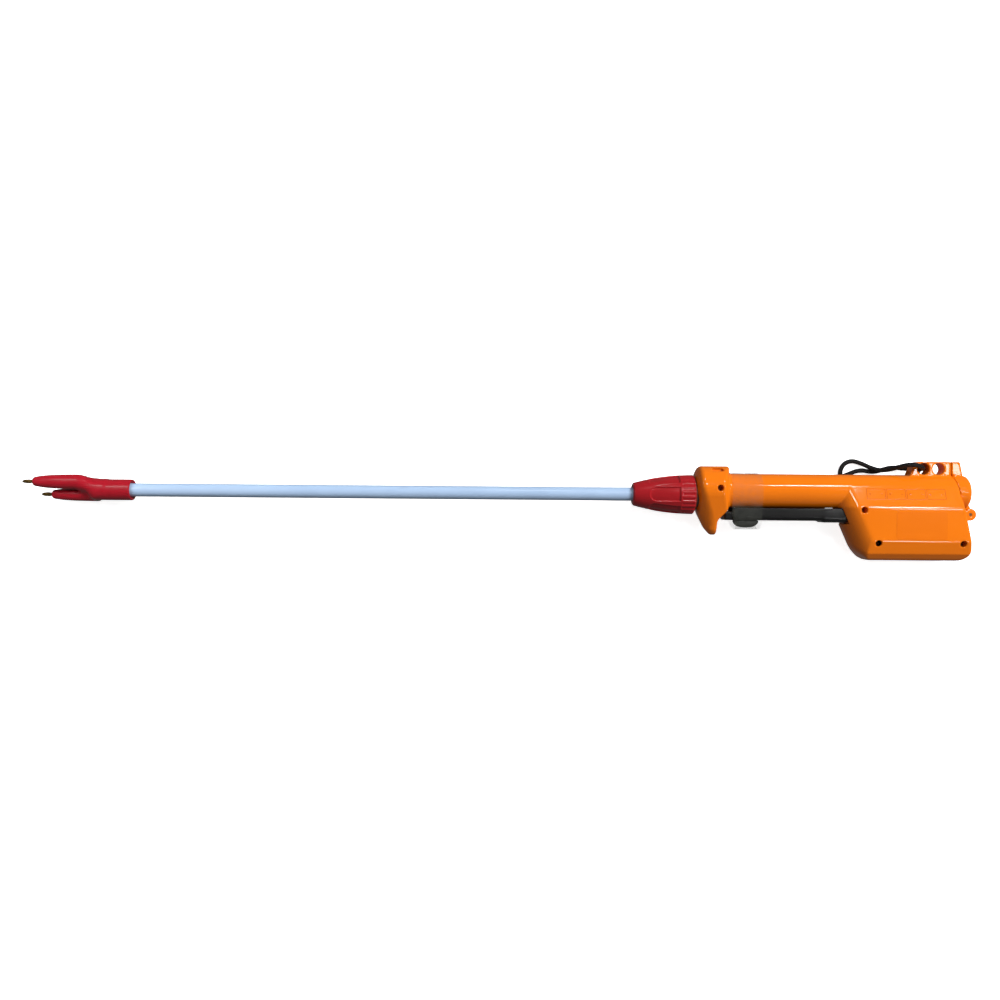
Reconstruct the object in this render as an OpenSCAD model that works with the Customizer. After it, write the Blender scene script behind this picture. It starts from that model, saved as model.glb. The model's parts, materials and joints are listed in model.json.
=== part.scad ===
// Livestock prodder lying on its right side: forked electrode head, tubular shaft, collet nut,
// two-shell handle with guard, squeeze lever, battery tube, electronics box and hinged battery cap.
// Working coordinates: X runs from the electrodes to the cap with 0 at the guard's front face,
// Y runs up the tool with 0 on the shaft axis, Z runs across it with 0 on the shells' split plane.

/* [Shaft] */
// Outside diameter of the shaft tube
shaft_d = 14; // [12:0.5:15]
// Wall of the shaft tube
shaft_wall = 2; // [1.5:0.1:2.4]
// Shaft seen between the guard's front face and the head
shaft_reach = 589; // [300:1:900]
// Shaft held inside the head's sleeve
shaft_in_head = 33; // [25:1:36]
// Depth of the shaft's rear end behind the guard's front face
shaft_in_guard = 15.5; // [10:0.5:17]
// Diameter of the two leads in the shaft
lead_d = 2; // [1.5:0.1:2.4]
// Distance between the two leads in the shaft
lead_spacing = 5; // [4:0.1:5.4]

/* [Head] */
// Outside diameter of the sleeve over the shaft
sleeve_d = 22; // [20:0.5:26]
// Length of the sleeve
sleeve_length = 38; // [36:1:50]
// Diameter of each prong
prong_d = 13; // [11:0.5:15]
// Distance between the prong axes
prong_spacing = 17.2; // [16:0.2:24]
// Length of the long prong in front of the sleeve
long_prong = 64; // [56:1:90]
// Length of the short prong in front of the sleeve
short_prong = 49; // [44:1:60]
// Turn of the fork about the shaft
fork_twist = 40; // [0:5:90]
// Shift of the fork above the shaft axis
fork_rise = 1.1; // [0:0.1:3]
// Diameter of the electrode pins
electrode_d = 4.2; // [3:0.1:5]
// Length of electrode in front of its prong
electrode_out = 11.5; // [6:0.5:20]
// Length of electrode inside its prong
electrode_in = 24; // [12:1:28]

/* [Collet nut] */
// Length of the nut
nut_length = 63.5; // [62:0.5:75]
// Gap between the nut and the guard
nut_gap = 1.6; // [1.4:0.1:3]
// Diameter of the nut's front shoulder
nut_front_d = 26.4; // [26:0.2:30]
// Diameter of the nut's rear band
nut_rear_d = 43; // [40:0.5:46]
// Radius of the nut's bulging side
nut_bulge_r = 250; // [150:10:400]
// Number of finger pockets round the nut
pocket_count = 6; // [4:1:8]
// Width of a finger pocket
pocket_w = 15; // [8:0.5:16]
// Depth of a finger pocket
pocket_depth = 1.3; // [0.6:0.1:1.6]
// Length of the ribbed band behind the pockets
band_length = 16; // [10:1:20]
// Number of grooves round the ribbed band
groove_count = 24; // [12:1:36]
// Diameter of the threaded spigot that the nut runs on
spigot_d = 29.2; // [28:0.2:30]
// Length of the spigot in front of the guard
spigot_length = 26; // [20:1:30]
// Length of the split collet
collet_length = 31.5; // [26:0.5:32]

/* [Guard] */
// Thickness of the guard along the shaft
guard_length = 35.5; // [33:0.5:38]
// Half width of the guard and of the box, on which the tool lies
half_width = 24; // [23:0.5:27]
// Height of the guard's top above the shaft axis
guard_top = 30; // [28:0.5:34]
// Depth of the guard's lobe below the shaft axis
guard_drop = 42; // [38:0.5:48]
// Radius of the lobe's end
lobe_r = 11; // [9:0.5:13]
// Radius of the guard's domed front
dome_r = 58; // [50:1:80]
// Height of the dome's middle above the shaft axis
dome_rise = 3; // [0:0.5:6]
// Radius of the guard's rear face across the tool
dish_r = 40; // [34:1:60]

/* [Grip] */
// Diameter of the grip tube
grip_d = 36; // [35:0.5:38]
// Height of the grip axis above the shaft axis
grip_rise = 4.3; // [3.5:0.1:5]
// Length of grip tube behind the last cell, for the cap's spring
spring_room = 15.3; // [13:0.1:20]
// Diameter of a battery cell
cell_d = 26.2; // [22:0.2:26.4]
// Length of a battery cell
cell_length = 50; // [44:0.5:50.5]
// Diameter of the battery tube's bore
bore_d = 27.4; // [26.8:0.1:28]

/* [Box] */
// Depth of the box's bottom below the shaft axis
box_drop = 66.8; // [64:0.2:75]
// Place of the box's nose, measured where the nose meets the grip's underside
nose_x = 146.5; // [145:0.5:148]
// Lean of the nose from upright
nose_lean = 23.6; // [20:0.2:26]
// Radius of the nose's rounded corners
nose_r = 20; // [14:0.5:22]
// Reach of the box's rear face behind the cap's seam
box_overhang = 7.5; // [6:0.5:8]
// Radius of the box's lower rear corner
heel_r = 12; // [8:0.5:15]
// Wall of the box
box_wall = 3; // [2:0.2:4]
// Diameter of the housing screws' recesses
recess_d = 6.4; // [6:0.1:7]

/* [Lever] */
// Half width of the squeeze lever
lever_half = 13.2; // [12.9:0.1:14]
// Height of the lever's side, below the grip
lever_depth = 13.1; // [12:0.1:14]
// Wall of the lever's sides
lever_wall = 1.8; // [1.2:0.1:1.9]
// Place of the lever pin
pin_x = 163; // [161:0.5:164]
// Diameter of the lever pin
pin_d = 3; // [2:0.1:3.6]
// Depth of the finger pad below the lever
pad_depth = 8.2; // [5:0.2:8.6]
// Length of the finger pad
pad_length = 26; // [18:1:30]

/* [Cap and lug] */
// Thickness of the battery cap
cap_thick = 13.2; // [12:0.2:14]
// Diameter of the cap's hinge pin
hinge_d = 3.2; // [2:0.1:4]
// Radius of the cap's hinge knuckle
knuckle_r = 6; // [5:0.1:6.2]
// Height of the strap lug's top above the shaft axis
lug_top = 36.3; // [36:0.1:40]
// Thickness of the strap lug
lug_thick = 15; // [10:0.5:18]
// Diameter of the strap holes
strap_hole_d = 12; // [9:0.2:12.4]

/* [Hidden] */
$fn = 64;

// Clearances: pushed together, sliding and running fits, and free room between pieces
press_gap = 0.03;
run_gap = 0.06;
free_gap = 0.3;
tiny = 0.01;
far = 400;

// Head, from its rear edge forwards
head_x = -shaft_reach;
fork_x = head_x - sleeve_length;
long_x = fork_x - long_prong;
short_x = fork_x - short_prong;
shaft_front_x = head_x - shaft_in_head;
root_reach = 22;
strut_reach = 15;
root_r = prong_d / 2 + 0.7;

// Clamp, from the nut's front face to the socket's rear face
nut_rear_x = -nut_gap;
nut_front_x = nut_rear_x - nut_length;
nut_lip = 4.6;
washer_thick = 2;
washer_x = nut_front_x + nut_lip + free_gap;
collet_rear_x = -spigot_length;
collet_front_x = collet_rear_x - collet_length;
collet_front_r = 9.6;
collet_collar = 3;
collet_rear_r = 12.3;
thread_x = collet_rear_x - 1.5;
flange_x = 9;
flange_thick = 5;
flange_r = 18;
socket_end = 36;
socket_rear_r = 12;
sleeve_contact_d = 3.4;
pocket_front_x = nut_front_x + 16.5;
band_x = nut_rear_x - band_length;
groove_w = 1;
groove_depth = 0.6;

// Guard and grip
dome_x = dome_r - 2.2;
slope_top_y = -13;
slope_x = 22.8;
slope_y = -34;
grip_r = grip_d / 2;
bore_r = bore_d / 2;
grip_bottom = grip_rise - grip_r;
chamber_end = 50;
contact_x = 54;
contact_thick = 0.6;
cell_x = contact_x + 2 * contact_thick;
cells_end = cell_x + 4 * cell_length;
grip_end = cells_end + spring_room;
duct_half = 4.2;
duct_floor = grip_bottom + 2.1;
wire_r = 1;
wire_y = duct_floor + wire_r + 0.15;
wire_z = 2.8;

// Box outline, from the grip's underside down
widest_y = -12;
side_bottom_y = 20.8 - box_drop;
chamfer_y = 7.3 - box_drop;
chamfer_z = half_width - 5.5;
bottom_z = half_width - 13;
nose_foot_y = 11 - box_drop;
nose_foot_x = nose_x + (grip_bottom - nose_foot_y) * tan(nose_lean);
bottom_x = nose_foot_x + 14.7;
box_rear = grip_end + box_overhang;
rear_step = 4.5;
rear_step_y = grip_bottom - 1.8;
// Half width and height where the box's upper side meets the grip tube tangentially
edge_gap = grip_rise - widest_y;
edge_angle = atan2(edge_gap, half_width) + asin(grip_r / norm([half_width, edge_gap])) - 90;
tangent_y = grip_rise + grip_r * sin(edge_angle);
tangent_z = grip_r * cos(edge_angle);
hollow_x = 176;
hollow_top = grip_bottom - 1;
hollow_rear = box_rear - 6;

// Screws that hold the shells together: [x, y]
screw_d = 3;
screw_head_r = 2.9;
screw_head_z = half_width - 12;
screw_tip_z = 8 - half_width;
guard_screw = [22.4, 6.9];
screws = [guard_screw, [hollow_x - 6, -14.5], [hollow_x + 9, side_bottom_y - 2.6],
    [box_rear - 6, side_bottom_y - 2.6]];
boss_r = 5;

// Lever, from its nose to its tail
lever_top = grip_bottom + 0.4;
lever_bottom = lever_top - lever_depth;
lever_x = 38.5;
lever_end = pin_x - 5.5;
knuckle_drop = 1.6;
floor_y = lever_top - 5.9;
pin_y = lever_top - 7.7;
tail_half = 4.5;
tail_top = pin_y + 3.5;
tail_bottom = pin_y - 4;
tail_end = pin_x + 28;
pad_x = 41;
pin_reach = 10;
plunger_x = pin_x + 21;
plunger_w = 3;
plunger_reach = 3;
plunger_sink = 1.5;
switch_top = tail_bottom - free_gap - plunger_reach;
switch_size = [20, 10, 6.4];
switch_x = pin_x + 14;

// Board and its parts
board_thick = 1.6;
board_z = -15.9;
board_x = 200;
board_end = hollow_rear - 7;
board_top = hollow_top - 3.3;
board_bottom = side_bottom_y - 4;
board_inset = 5;
board_holes = [for (x = [board_x + board_inset, board_end - board_inset])
    for (y = [board_top - board_inset, board_bottom + board_inset]) [x, y]];
board_length = board_end - board_x;
core_x = board_x + 0.54 * board_length;
core_y = -34;
core_half = 0.2 * board_length;
core_leg = 0.27 * core_half;
core_top = 5;
coil_r = 0.65 * core_half;
coil_top = 1;
cap_can_r = 0.105 * board_length;

// Cap, its hinge and the strap lug
seam_x = grip_end + free_gap;
cap_end = seam_x + cap_thick;
cap_round = 4;
cap_hollow_r = bore_r - 0.2;
cap_floor_x = cap_end - 5.4;
cap_contact_thick = 0.7;
hinge_x = cap_end + 1;
hinge_y = grip_bottom - 4.8;
ear_inner = 5.3;
ear_outer = 10.5;
ear_r = knuckle_r + 0.3;
knuckle_half = ear_inner - free_gap;
lug_end = grip_end - 4.5;
tab_x = lug_end + free_gap;
strap_holes = [for (from_end = [28.5, 12.9]) [lug_end - from_end, lug_top - 7.5]];

// Cap spring: one conical coil from the cap's contact to the last cell
spring_wire_r = 0.6;
spring_turns = 5;
spring_big_r = 10;
spring_small_r = 6;
spring_from = cap_floor_x - cap_contact_thick - spring_wire_r - 0.1;
spring_to = cells_end + spring_wire_r + 0.1;
spring_path = [for (i = [0 : 8 * spring_turns]) let (t = i / (8 * spring_turns),
    r = spring_big_r + (spring_small_r - spring_big_r) * t, a = 45 * i)
    [spring_from + (spring_to - spring_from) * t, grip_rise + r * cos(a), r * sin(a)]];

// Lever spring: a short coil round the lever pin
lever_wire_r = 0.45;
lever_spring_turns = 3;
lever_spring_r = pin_d / 2 + lever_wire_r + 0.5;
lever_spring_z = 5.9;
lever_spring_pitch = 1.4;
lever_spring_room = 5.2;
lever_spring_end = lever_spring_z + lever_spring_pitch * lever_spring_turns + 2 * lever_wire_r + 0.4;
lever_spring_path = [for (i = [0 : 8 * lever_spring_turns]) let (a = 45 * i)
    [pin_x + lever_spring_r * cos(a), pin_y + lever_spring_r * sin(a),
    lever_spring_z + lever_wire_r + lever_spring_pitch * i / 8]];

// Wrist cord, from the knot behind the lug's front hole, over the lug, round its loop and back
cord_r = 2.4;
knot_r = strap_hole_d / 2 + 0.6;
knot_at = [strap_holes[0].x, strap_holes[0].y,
    -lug_thick / 2 - sqrt(pow(knot_r, 2) - pow(strap_hole_d / 2, 2)) - 0.05];
// The cord's points, measured with the front strap hole at (237.5, 28.8) and the floor at -24
cord_shift = [strap_holes[0].x - 237.5, strap_holes[0].y - 28.8, 24 - half_width];
cord_way = [for (p = [[237.4, 28.9, 2.8], [235.9, 29.7, 8.5], [231.7, 31, 12.7], [225.9, 32.3, 14.2],
    [220.1, 32.6, 12.6], [215.2, 31.5, 7.8], [210.4, 29.6, 0.8], [205, 28, -6.4], [198.6, 28, -12.8],
    [191.6, 30.8, -17.6], [183, 35.2, -20.8], [174, 37.5, -21.4], [166.4, 35.1, -21.4],
    [162, 28.8, -21.4], [160.8, 21.4, -21.4], [157.8, 13.6, -21.4], [151.8, 7, -21.4], [143, 2, -21.4],
    [133, -1.8, -21.4], [122.8, -3.5, -21.4], [115.2, 0.7, -21.4], [112.4, 8.1, -21.4],
    [115.2, 15.5, -21.4], [122.8, 19.7, -21.4], [133, 19.5, -21.4], [143, 18.7, -20], [152, 18.9, -17.2],
    [161, 20.8, -15.7], [169.5, 23.9, -17.3], [177.5, 26.6, -20.2], [185.5, 27.5, -21.4],
    [193, 26.5, -21.4], [200, 26.8, -21.4], [207, 28.8, -21.4], [214, 30.6, -21.4], [220.5, 30.8, -20.8],
    [226, 30, -18.4]]) p + cord_shift];
cord_route = concat([knot_at + [0, 0, knot_r + 0.05]], cord_way,
    [knot_at + (knot_r + 0.05) * unit(cord_way[len(cord_way) - 1] - knot_at)]);

// Extent of the tool without its cord, and the shift that sets it on its right side
front_end = long_x - electrode_out;
rear_end = hinge_x + ear_r;
row_shift = [-(front_end + rear_end) / 2, (box_drop - lug_top) / 2, half_width];

function unit(v) = v / norm(v);
function tangents(p) = [for (i = [0 : len(p) - 1])
    unit(p[min(i + 1, len(p) - 1)] - p[max(i - 1, 0)])];
function square_to(n, t) = unit(n - (n * t) * t);
function carried(t, n, i = 0) = i == len(t) ? [] :
    let (m = square_to(n, t[i])) concat([m], carried(t, m, i + 1));
function least_gap(p, r, skip) = min([for (i = [0 : len(p) - 1 - skip])
    for (j = [i + skip : len(p) - 1]) norm(p[i] - p[j])]) - 2 * r;
function fork_point(x, u, rise) = [x, rise + u * cos(fork_twist), u * sin(fork_twist)];

module place() translate(row_shift) children();
module turned(y = 0) translate([0, y, 0]) rotate([0, 90, 0]) rotate_extrude() children();
module rod(r, from, to, y = 0, z = 0)
    translate([from, y, z]) rotate([0, 90, 0]) cylinder(r = r, h = to - from);
module across(from, to) translate([0, 0, from]) linear_extrude(to - from) children();
module along(from, to)
    translate([from, 0, 0]) rotate([90, 0, 90]) linear_extrude(to - from) children();
module drill(at, r, from, to) translate([at.x, at.y, from]) cylinder(r = r, h = to - from);
module block(low, high) translate(low) cube(high - low);

// A straight piece of wire between two points
module strut(a, b, r) {
    d = b - a;
    translate(a) rotate([0, acos(d.z / norm(d)), atan2(d.y, d.x)]) cylinder(r = r, h = norm(d));
}

// A round tube swept along a path as one closed surface of triangles
module swept(path, r, sides) {
    t = tangents(path);
    n = carried(t, [0.1, 0.2, 1]);
    last = len(path) - 1;
    points = [for (i = [0 : last]) for (k = [0 : sides - 1]) let (a = 360 * k / sides)
        path[i] + r * cos(a) * n[i] + r * sin(a) * cross(t[i], n[i])];
    walls = [for (i = [0 : last - 1]) for (k = [0 : sides - 1])
        let (a = i * sides + k, b = i * sides + (k + 1) % sides)
        each [[a, a + sides, b], [b, a + sides, b + sides]]];
    ends = [for (k = [1 : sides - 2])
        each [[0, k, k + 1], [last * sides, last * sides + k + 1, last * sides + k]]];
    polyhedron(points, concat(walls, ends));
}

// Two circles on one line and sides that run a hair inside the lines touching both
module egg(big_r, big_at, small_r, small_at) {
    lean = asin((big_r - small_r) / (big_at - small_at));
    translate([big_at, 0]) circle(big_r);
    translate([small_at, 0]) circle(small_r);
    polygon([for (side = [1, -1]) for (c = side > 0 ? [[big_at, big_r], [small_at, small_r]]
        : [[small_at, small_r], [big_at, big_r]])
        [c[0] - (c[1] - 0.03) * sin(lean), side * (c[1] - 0.03) * cos(lean)]]);
}

// A bar's section, seen along the tool, with its lower corners rounded
module trough_section(bottom, top, half, r) {
    translate([bottom + r, -half]) square([top - bottom - r, 2 * half]);
    translate([bottom, r - half]) square([r + tiny, 2 * (half - r)]);
    for (side = [-1, 1]) translate([bottom + r, side * (half - r)]) circle(r);
}

module electrode(end_x, u) {
    r = electrode_d / 2;
    at = fork_point(0, u, fork_rise);
    translate(at) turned() polygon([[0, end_x - electrode_out], [0.25 * r, end_x - electrode_out],
        [0.8 * r, end_x - 0.8 * electrode_out], [r, end_x - 0.6 * electrode_out],
        [r, end_x + electrode_in], [0, end_x + electrode_in]]);
}
module electrode_long() color("darkgoldenrod") electrode(long_x, prong_spacing / 2);
module electrode_short() color("darkgoldenrod") electrode(short_x, -prong_spacing / 2);

// One prong: a blunt bullet that swells towards its root
module prong(end_x, root_x, u, widest) {
    r = prong_d / 2;
    translate(fork_point(0, u, fork_rise)) turned() polygon([[0, end_x], [0.56 * r, end_x],
        [0.72 * r, end_x + 0.4 * r], [0.8 * r, end_x + 1.3 * r], [0.96 * r, end_x + 3.2 * r],
        [widest, fork_x - root_reach], [widest, root_x], [widest - 2, root_x + 3], [0, root_x + 3]]);
}
module electrode_head() color("firebrick") difference() {
    union() {
        turned() polygon([[0, fork_x - 7], [0.6 * sleeve_d / 2, fork_x - 7], [sleeve_d / 2, fork_x],
            [sleeve_d / 2, head_x], [0, head_x]]);
        prong(long_x, fork_x - strut_reach + 1, prong_spacing / 2, root_r);
        prong(short_x, fork_x - 2, -prong_spacing / 2, root_r - 0.7);
        for (side = [-1, 1]) strut(fork_point(fork_x - strut_reach - 4, side * prong_spacing / 2, fork_rise),
            fork_point(fork_x + 6, 0.15 * side * prong_spacing, 0), root_r - 0.9);
        translate([0, fork_rise / 2, 0]) rotate([fork_twist, 0, 0])
            block([fork_x - 17, -0.42 * prong_spacing, -0.8 * root_r],
                [fork_x + 3, 0.42 * prong_spacing, 0.8 * root_r]);
    }
    rod(shaft_d / 2 + press_gap, shaft_front_x - 0.5, head_x + 1);
    translate([head_x - 2.4, 0, 0]) rotate([0, 90, 0])
        cylinder(r1 = shaft_d / 2 - 0.4, r2 = shaft_d / 2 + 2.4, h = 2.8);
    for (prong = [[long_x, 1], [short_x, -1]]) {
        at = fork_point(0, prong[1] * prong_spacing / 2, fork_rise);
        rod(electrode_d / 2 + press_gap, prong[0] - 1, prong[0] + electrode_in + 0.2, at.y, at.z);
        strut(lead_end(prong[0] - 0.4, prong[1]), lead_bend(prong[1]), lead_d / 2 + 0.2);
    }
}

module shaft_tube() color("whitesmoke") difference() {
    rod(shaft_d / 2, shaft_front_x, shaft_in_guard);
    rod(shaft_d / 2 - shaft_wall, shaft_front_x - 1, shaft_in_guard + 1);
}

function lead_end(end_x, side) = fork_point(end_x + electrode_in, side * prong_spacing / 2, fork_rise);
function lead_bend(side) = fork_point(shaft_front_x + 3, side * lead_spacing / 2, 0);
module shaft_leads() color("peru") for (prong = [[long_x, 1], [short_x, -1]])
    swept([lead_end(prong[0] + 0.2, prong[1]), lead_bend(prong[1]),
        fork_point(shaft_in_guard + 13, prong[1] * lead_spacing / 2, 0)], lead_d / 2, 12);

module shaft_plug() color("dimgray") difference() {
    rod(shaft_d / 2 - shaft_wall - press_gap, shaft_in_guard - 12, shaft_in_guard);
    for (side = [-1, 1]) {
        at = fork_point(0, side * lead_spacing / 2, 0);
        rod(lead_d / 2 + press_gap, shaft_in_guard - 13, shaft_in_guard + 1, at.y, at.z);
    }
}

// Outline of the nut's bulging side, or of the floor of its pockets when set in
module nut_profile(inset = 0) {
    front = [nut_front_d / 2, nut_front_x + 3];
    rear = [nut_rear_d / 2, band_x + band_length / 2];
    half_chord = norm(rear - front) / 2;
    inwards = [front.y - rear.y, rear.x - front.x] / (2 * half_chord);
    centre = (front + rear) / 2 + inwards * sqrt(pow(nut_bulge_r, 2) - pow(half_chord, 2));
    intersection() {
        polygon([[0, nut_front_x], [nut_front_d / 2 - 2.2, nut_front_x], front - [inset, 0],
            [nut_rear_d / 2 - inset, front.y], [nut_rear_d / 2 - inset, nut_rear_x - 1],
            [nut_rear_d / 2 - 1 - inset, nut_rear_x], [0, nut_rear_x]]);
        union() {
            translate(centre) circle(nut_bulge_r - inset, $fn = 256);
            translate([0, band_x + band_length / 2])
                square([nut_rear_d / 2 - inset, band_length]);
        }
    }
}
// Sunk fields between the ridges of the nut, rounded at their front
module nut_pockets() intersection() {
    for (i = [0 : pocket_count - 1]) rotate([360 * (i + 0.5) / pocket_count, 0, 0]) {
        translate([0, nut_rear_d, 0]) rotate([90, 0, 0]) linear_extrude(nut_rear_d) {
            translate([pocket_front_x + pocket_w / 2, 0]) circle(pocket_w / 2);
            translate([pocket_front_x + pocket_w / 2, -pocket_w / 2])
                square([band_x - pocket_front_x - pocket_w / 2, pocket_w]);
        }
    }
    difference() {
        rod(nut_rear_d, nut_front_x, nut_rear_x);
        turned() nut_profile(pocket_depth);
    }
}
module collet_nut() color("darkred") difference() {
    turned() nut_profile();
    nut_pockets();
    for (i = [0 : groove_count - 1]) rotate([360 * i / groove_count, 0, 0])
        block([band_x + 1.5, nut_rear_d / 2 - groove_depth, -groove_w / 2],
            [nut_rear_x + 1, nut_rear_d / 2 + 1, groove_w / 2]);
    turned() polygon([[0, nut_front_x - 1], [shaft_d / 2 + 0.5, nut_front_x - 1],
        [shaft_d / 2 + 0.5, nut_front_x + nut_lip], [collet_front_r + 0.5, nut_front_x + nut_lip],
        [collet_front_r + 0.5, collet_front_x - free_gap],
        [collet_rear_r + 0.4, collet_rear_x - collet_collar],
        [collet_rear_r + 0.4, thread_x], [spigot_d / 2 + free_gap, thread_x],
        [spigot_d / 2 + free_gap, nut_rear_x + 1], [0, nut_rear_x + 1]]);
}
module slip_washer() color("gainsboro") difference() {
    rod(collet_front_r + 0.2, washer_x, washer_x + washer_thick);
    rod(shaft_d / 2 + 0.4, washer_x - 1, washer_x + washer_thick + 1);
}
module collet() color("dimgray") difference() {
    turned() polygon([[shaft_d / 2 + run_gap, collet_front_x], [collet_front_r, collet_front_x],
        [collet_rear_r, collet_rear_x - collet_collar], [collet_rear_r, collet_rear_x],
        [shaft_d / 2 + run_gap, collet_rear_x]]);
    for (turn = [45, 135]) rotate([turn, 0, 0])
        block([collet_front_x - 1, -0.7, -20], [collet_rear_x - collet_collar - 4, 0.7, 20]);
}
module dust_seal() color("black") difference() {
    rod(spigot_d / 2 + 2.8, 0.1 - nut_gap + free_gap, -0.1);
    rod(spigot_d / 2 + 0.1, -nut_gap - 1, 1);
}
module shaft_socket() color("dimgray") difference() {
    union() {
        rod(spigot_d / 2, collet_rear_x, flange_x + 1);
        rod(flange_r, flange_x, flange_x + flange_thick);
        rod(socket_rear_r, flange_x + 1, socket_end);
    }
    rod(shaft_d / 2 + run_gap, collet_rear_x - 1, shaft_in_guard + 0.5);
    for (side = [-1, 1]) {
        at = fork_point(0, side * lead_spacing / 2, 0);
        rod(sleeve_contact_d / 2 + press_gap, 0, socket_end + 1, at.y, at.z);
    }
    drill(guard_screw, screw_d / 2 + 0.2, -far, far);
}
module contact_sleeves() color("goldenrod") for (side = [-1, 1]) {
    at = fork_point(0, side * lead_spacing / 2, 0);
    difference() {
        rod(sleeve_contact_d / 2, shaft_in_guard + 0.8, socket_end - 1, at.y, at.z);
        rod(lead_d / 2 + run_gap, 0, socket_end, at.y, at.z);
    }
}

// Outside of the handle, both halves together
module guard_body() intersection() {
    turned(dome_rise) intersection() {
        translate([0, dome_x]) circle(dome_r, $fn = 128);
        translate([0, -5]) square([dome_r, guard_length + 12]);
    }
    translate([guard_length - dish_r, far / 2, 0]) rotate([90, 0, 0])
        cylinder(r = dish_r, h = far, $fn = 128);
    along(0, guard_length + 5)
        egg(half_width, guard_top - half_width, lobe_r, lobe_r - guard_drop);
    across(-half_width - 5, half_width + 5) polygon([[-5, -guard_drop - 5], [-5, guard_top + 5],
        [guard_length - 9.5, guard_top + 5], [guard_length + 2, guard_top - 6.5],
        [guard_length + 2, slope_top_y + 2 * (slope_top_y - slope_y) / (guard_length - slope_x)],
        [slope_x, slope_y], [slope_x, -guard_drop - 5]]);
}
// Section of the box seen along the tool, from the points down its one side
module mirrored_section(points) {
    last = len(points) - 1;
    polygon(concat(points, [for (i = [last : -1 : 0]) [points[i].x, -points[i].y]]));
}
module box_side() {
    polygon([[nose_foot_x - (tangent_y - nose_foot_y) * tan(nose_lean), tangent_y],
        [nose_foot_x, nose_foot_y], [bottom_x, -box_drop], [box_rear - heel_r, -box_drop],
        [box_rear, heel_r - box_drop], [box_rear, side_bottom_y - 1],
        [grip_end + rear_step, side_bottom_y + 21], [grip_end + rear_step, rear_step_y],
        [grip_end, rear_step_y], [grip_end, tangent_y]]);
    translate([box_rear - heel_r, heel_r - box_drop]) circle(heel_r);
}
module nose_prism() translate([nose_x, grip_bottom, 0]) rotate([0, 0, nose_lean])
    rotate([90, 0, 0]) translate([0, 0, -far / 2]) linear_extrude(far) {
        for (side = [-1, 1]) translate([nose_r, side * (half_width - nose_r)]) circle(nose_r);
        translate([0, nose_r - half_width]) square([far, 2 * (half_width - nose_r)]);
        translate([nose_r, -half_width]) square([far, 2 * half_width]);
    }
module box_body() intersection() {
    along(nose_x - 40, box_rear + 1) mirrored_section([[tangent_y + 0.6, tangent_z - 0.9],
        [widest_y, half_width], [side_bottom_y, half_width], [chamfer_y, chamfer_z],
        [-box_drop, bottom_z]]);
    across(-half_width - 1, half_width + 1) box_side();
    nose_prism();
}
module lug() difference() {
    across(-lug_thick / 2, lug_thick / 2) polygon([[lug_end - 44, grip_rise + grip_r - 1.5],
        [lug_end - 38, lug_top - 2], [lug_end - 35, lug_top], [lug_end, lug_top],
        [lug_end, grip_rise + grip_r - 1.5]]);
    for (hole = strap_holes) drill(hole, strap_hole_d / 2, -far, far);
}
module hinge_ears() for (side = [0, 1]) mirror([0, 0, side]) across(ear_inner, ear_outer) {
    translate([hinge_x, hinge_y]) circle(ear_r);
    polygon([[grip_end, hinge_y - ear_r], [hinge_x, hinge_y - ear_r], [hinge_x - ear_r, hinge_y],
        [hinge_x - ear_r, hinge_y + 1.5], [grip_end, rear_step_y]]);
}

// Rooms inside the handle
module box_hollow() difference() {
    intersection() {
        along(hollow_x - 1, hollow_rear + 1) mirrored_section([[hollow_top, half_width - box_wall],
            [side_bottom_y + 0.2 * box_wall, half_width - box_wall],
            [chamfer_y + 0.6 * box_wall, chamfer_z - 0.8 * box_wall],
            [box_wall - box_drop, bottom_z - 0.4 * box_wall]]);
        across(-half_width, half_width) polygon([[hollow_x, hollow_top], [hollow_x, -45],
            [hollow_x + 5, chamfer_y + 2], [hollow_x + 11, box_wall - box_drop],
            [hollow_rear - 7, box_wall - box_drop], [hollow_rear, chamfer_y + 2],
            [hollow_rear, hollow_top]]);
    }
    for (i = [2, 3]) drill(screws[i], boss_r, -half_width, half_width);
    for (hole = board_holes) drill(hole, 2.8, -half_width, board_z - board_thick);
    block([switch_x + 1, switch_top - switch_size.y + 0.5, -half_width],
        [switch_x + switch_size.x - 1, switch_top - 0.5, -switch_size.z / 2]);
}
module socket_room() {
    rod(spigot_d / 2 + free_gap, -5, flange_x + 1);
    rod(flange_r + 0.1, flange_x - 0.05, flange_x + flange_thick + 0.05);
    rod(socket_rear_r + 0.1, flange_x + 1, socket_end + tiny);
    rod(socket_rear_r + 1, socket_end, chamber_end, 2);
}
module lever_room() {
    block([slope_x + 1.2, lever_bottom - 1, -10.6], [lever_x, lever_top, 10.6]);
    block([nose_x - 10, lever_bottom - 4.5, -lever_half - 0.6],
        [lever_end + 1.1, lever_top + 0.6, lever_half + 0.6]);
    block([nose_x, tail_bottom - 2.5, -tail_half - 0.9], [hollow_x + 1, tail_top + 0.9, tail_half + 0.9]);
    drill([pin_x, pin_y], lever_spring_room, 0, lever_spring_end);
    drill([pin_x, pin_y], pin_d / 2 + press_gap, -pin_reach - 0.1, lever_spring_end + 2.1);
}
module cell_room() {
    rod(bore_r, contact_x, grip_end + 1, grip_rise);
    block([chamber_end - 4, duct_floor, -duct_half], [grip_end + 1, grip_rise - 9, duct_half]);
    block([hollow_x + 18, hollow_top - 1, -duct_half], [hollow_x + 36, duct_floor + 1, duct_half]);
}
module screw_holes() for (at = screws) {
    drill(at, recess_d / 2, screw_head_z, far);
    drill(at, screw_d / 2 + 0.2, 0, screw_head_z + 1);
    drill(at, screw_d / 2 + press_gap, screw_tip_z - 1, tiny);
}
module guard_slots() for (side = [0, 1]) mirror([0, 0, side])
    block([guard_length - 19, guard_top - 5.6, 9], [guard_length - 8, guard_top - 3, half_width]);

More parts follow.
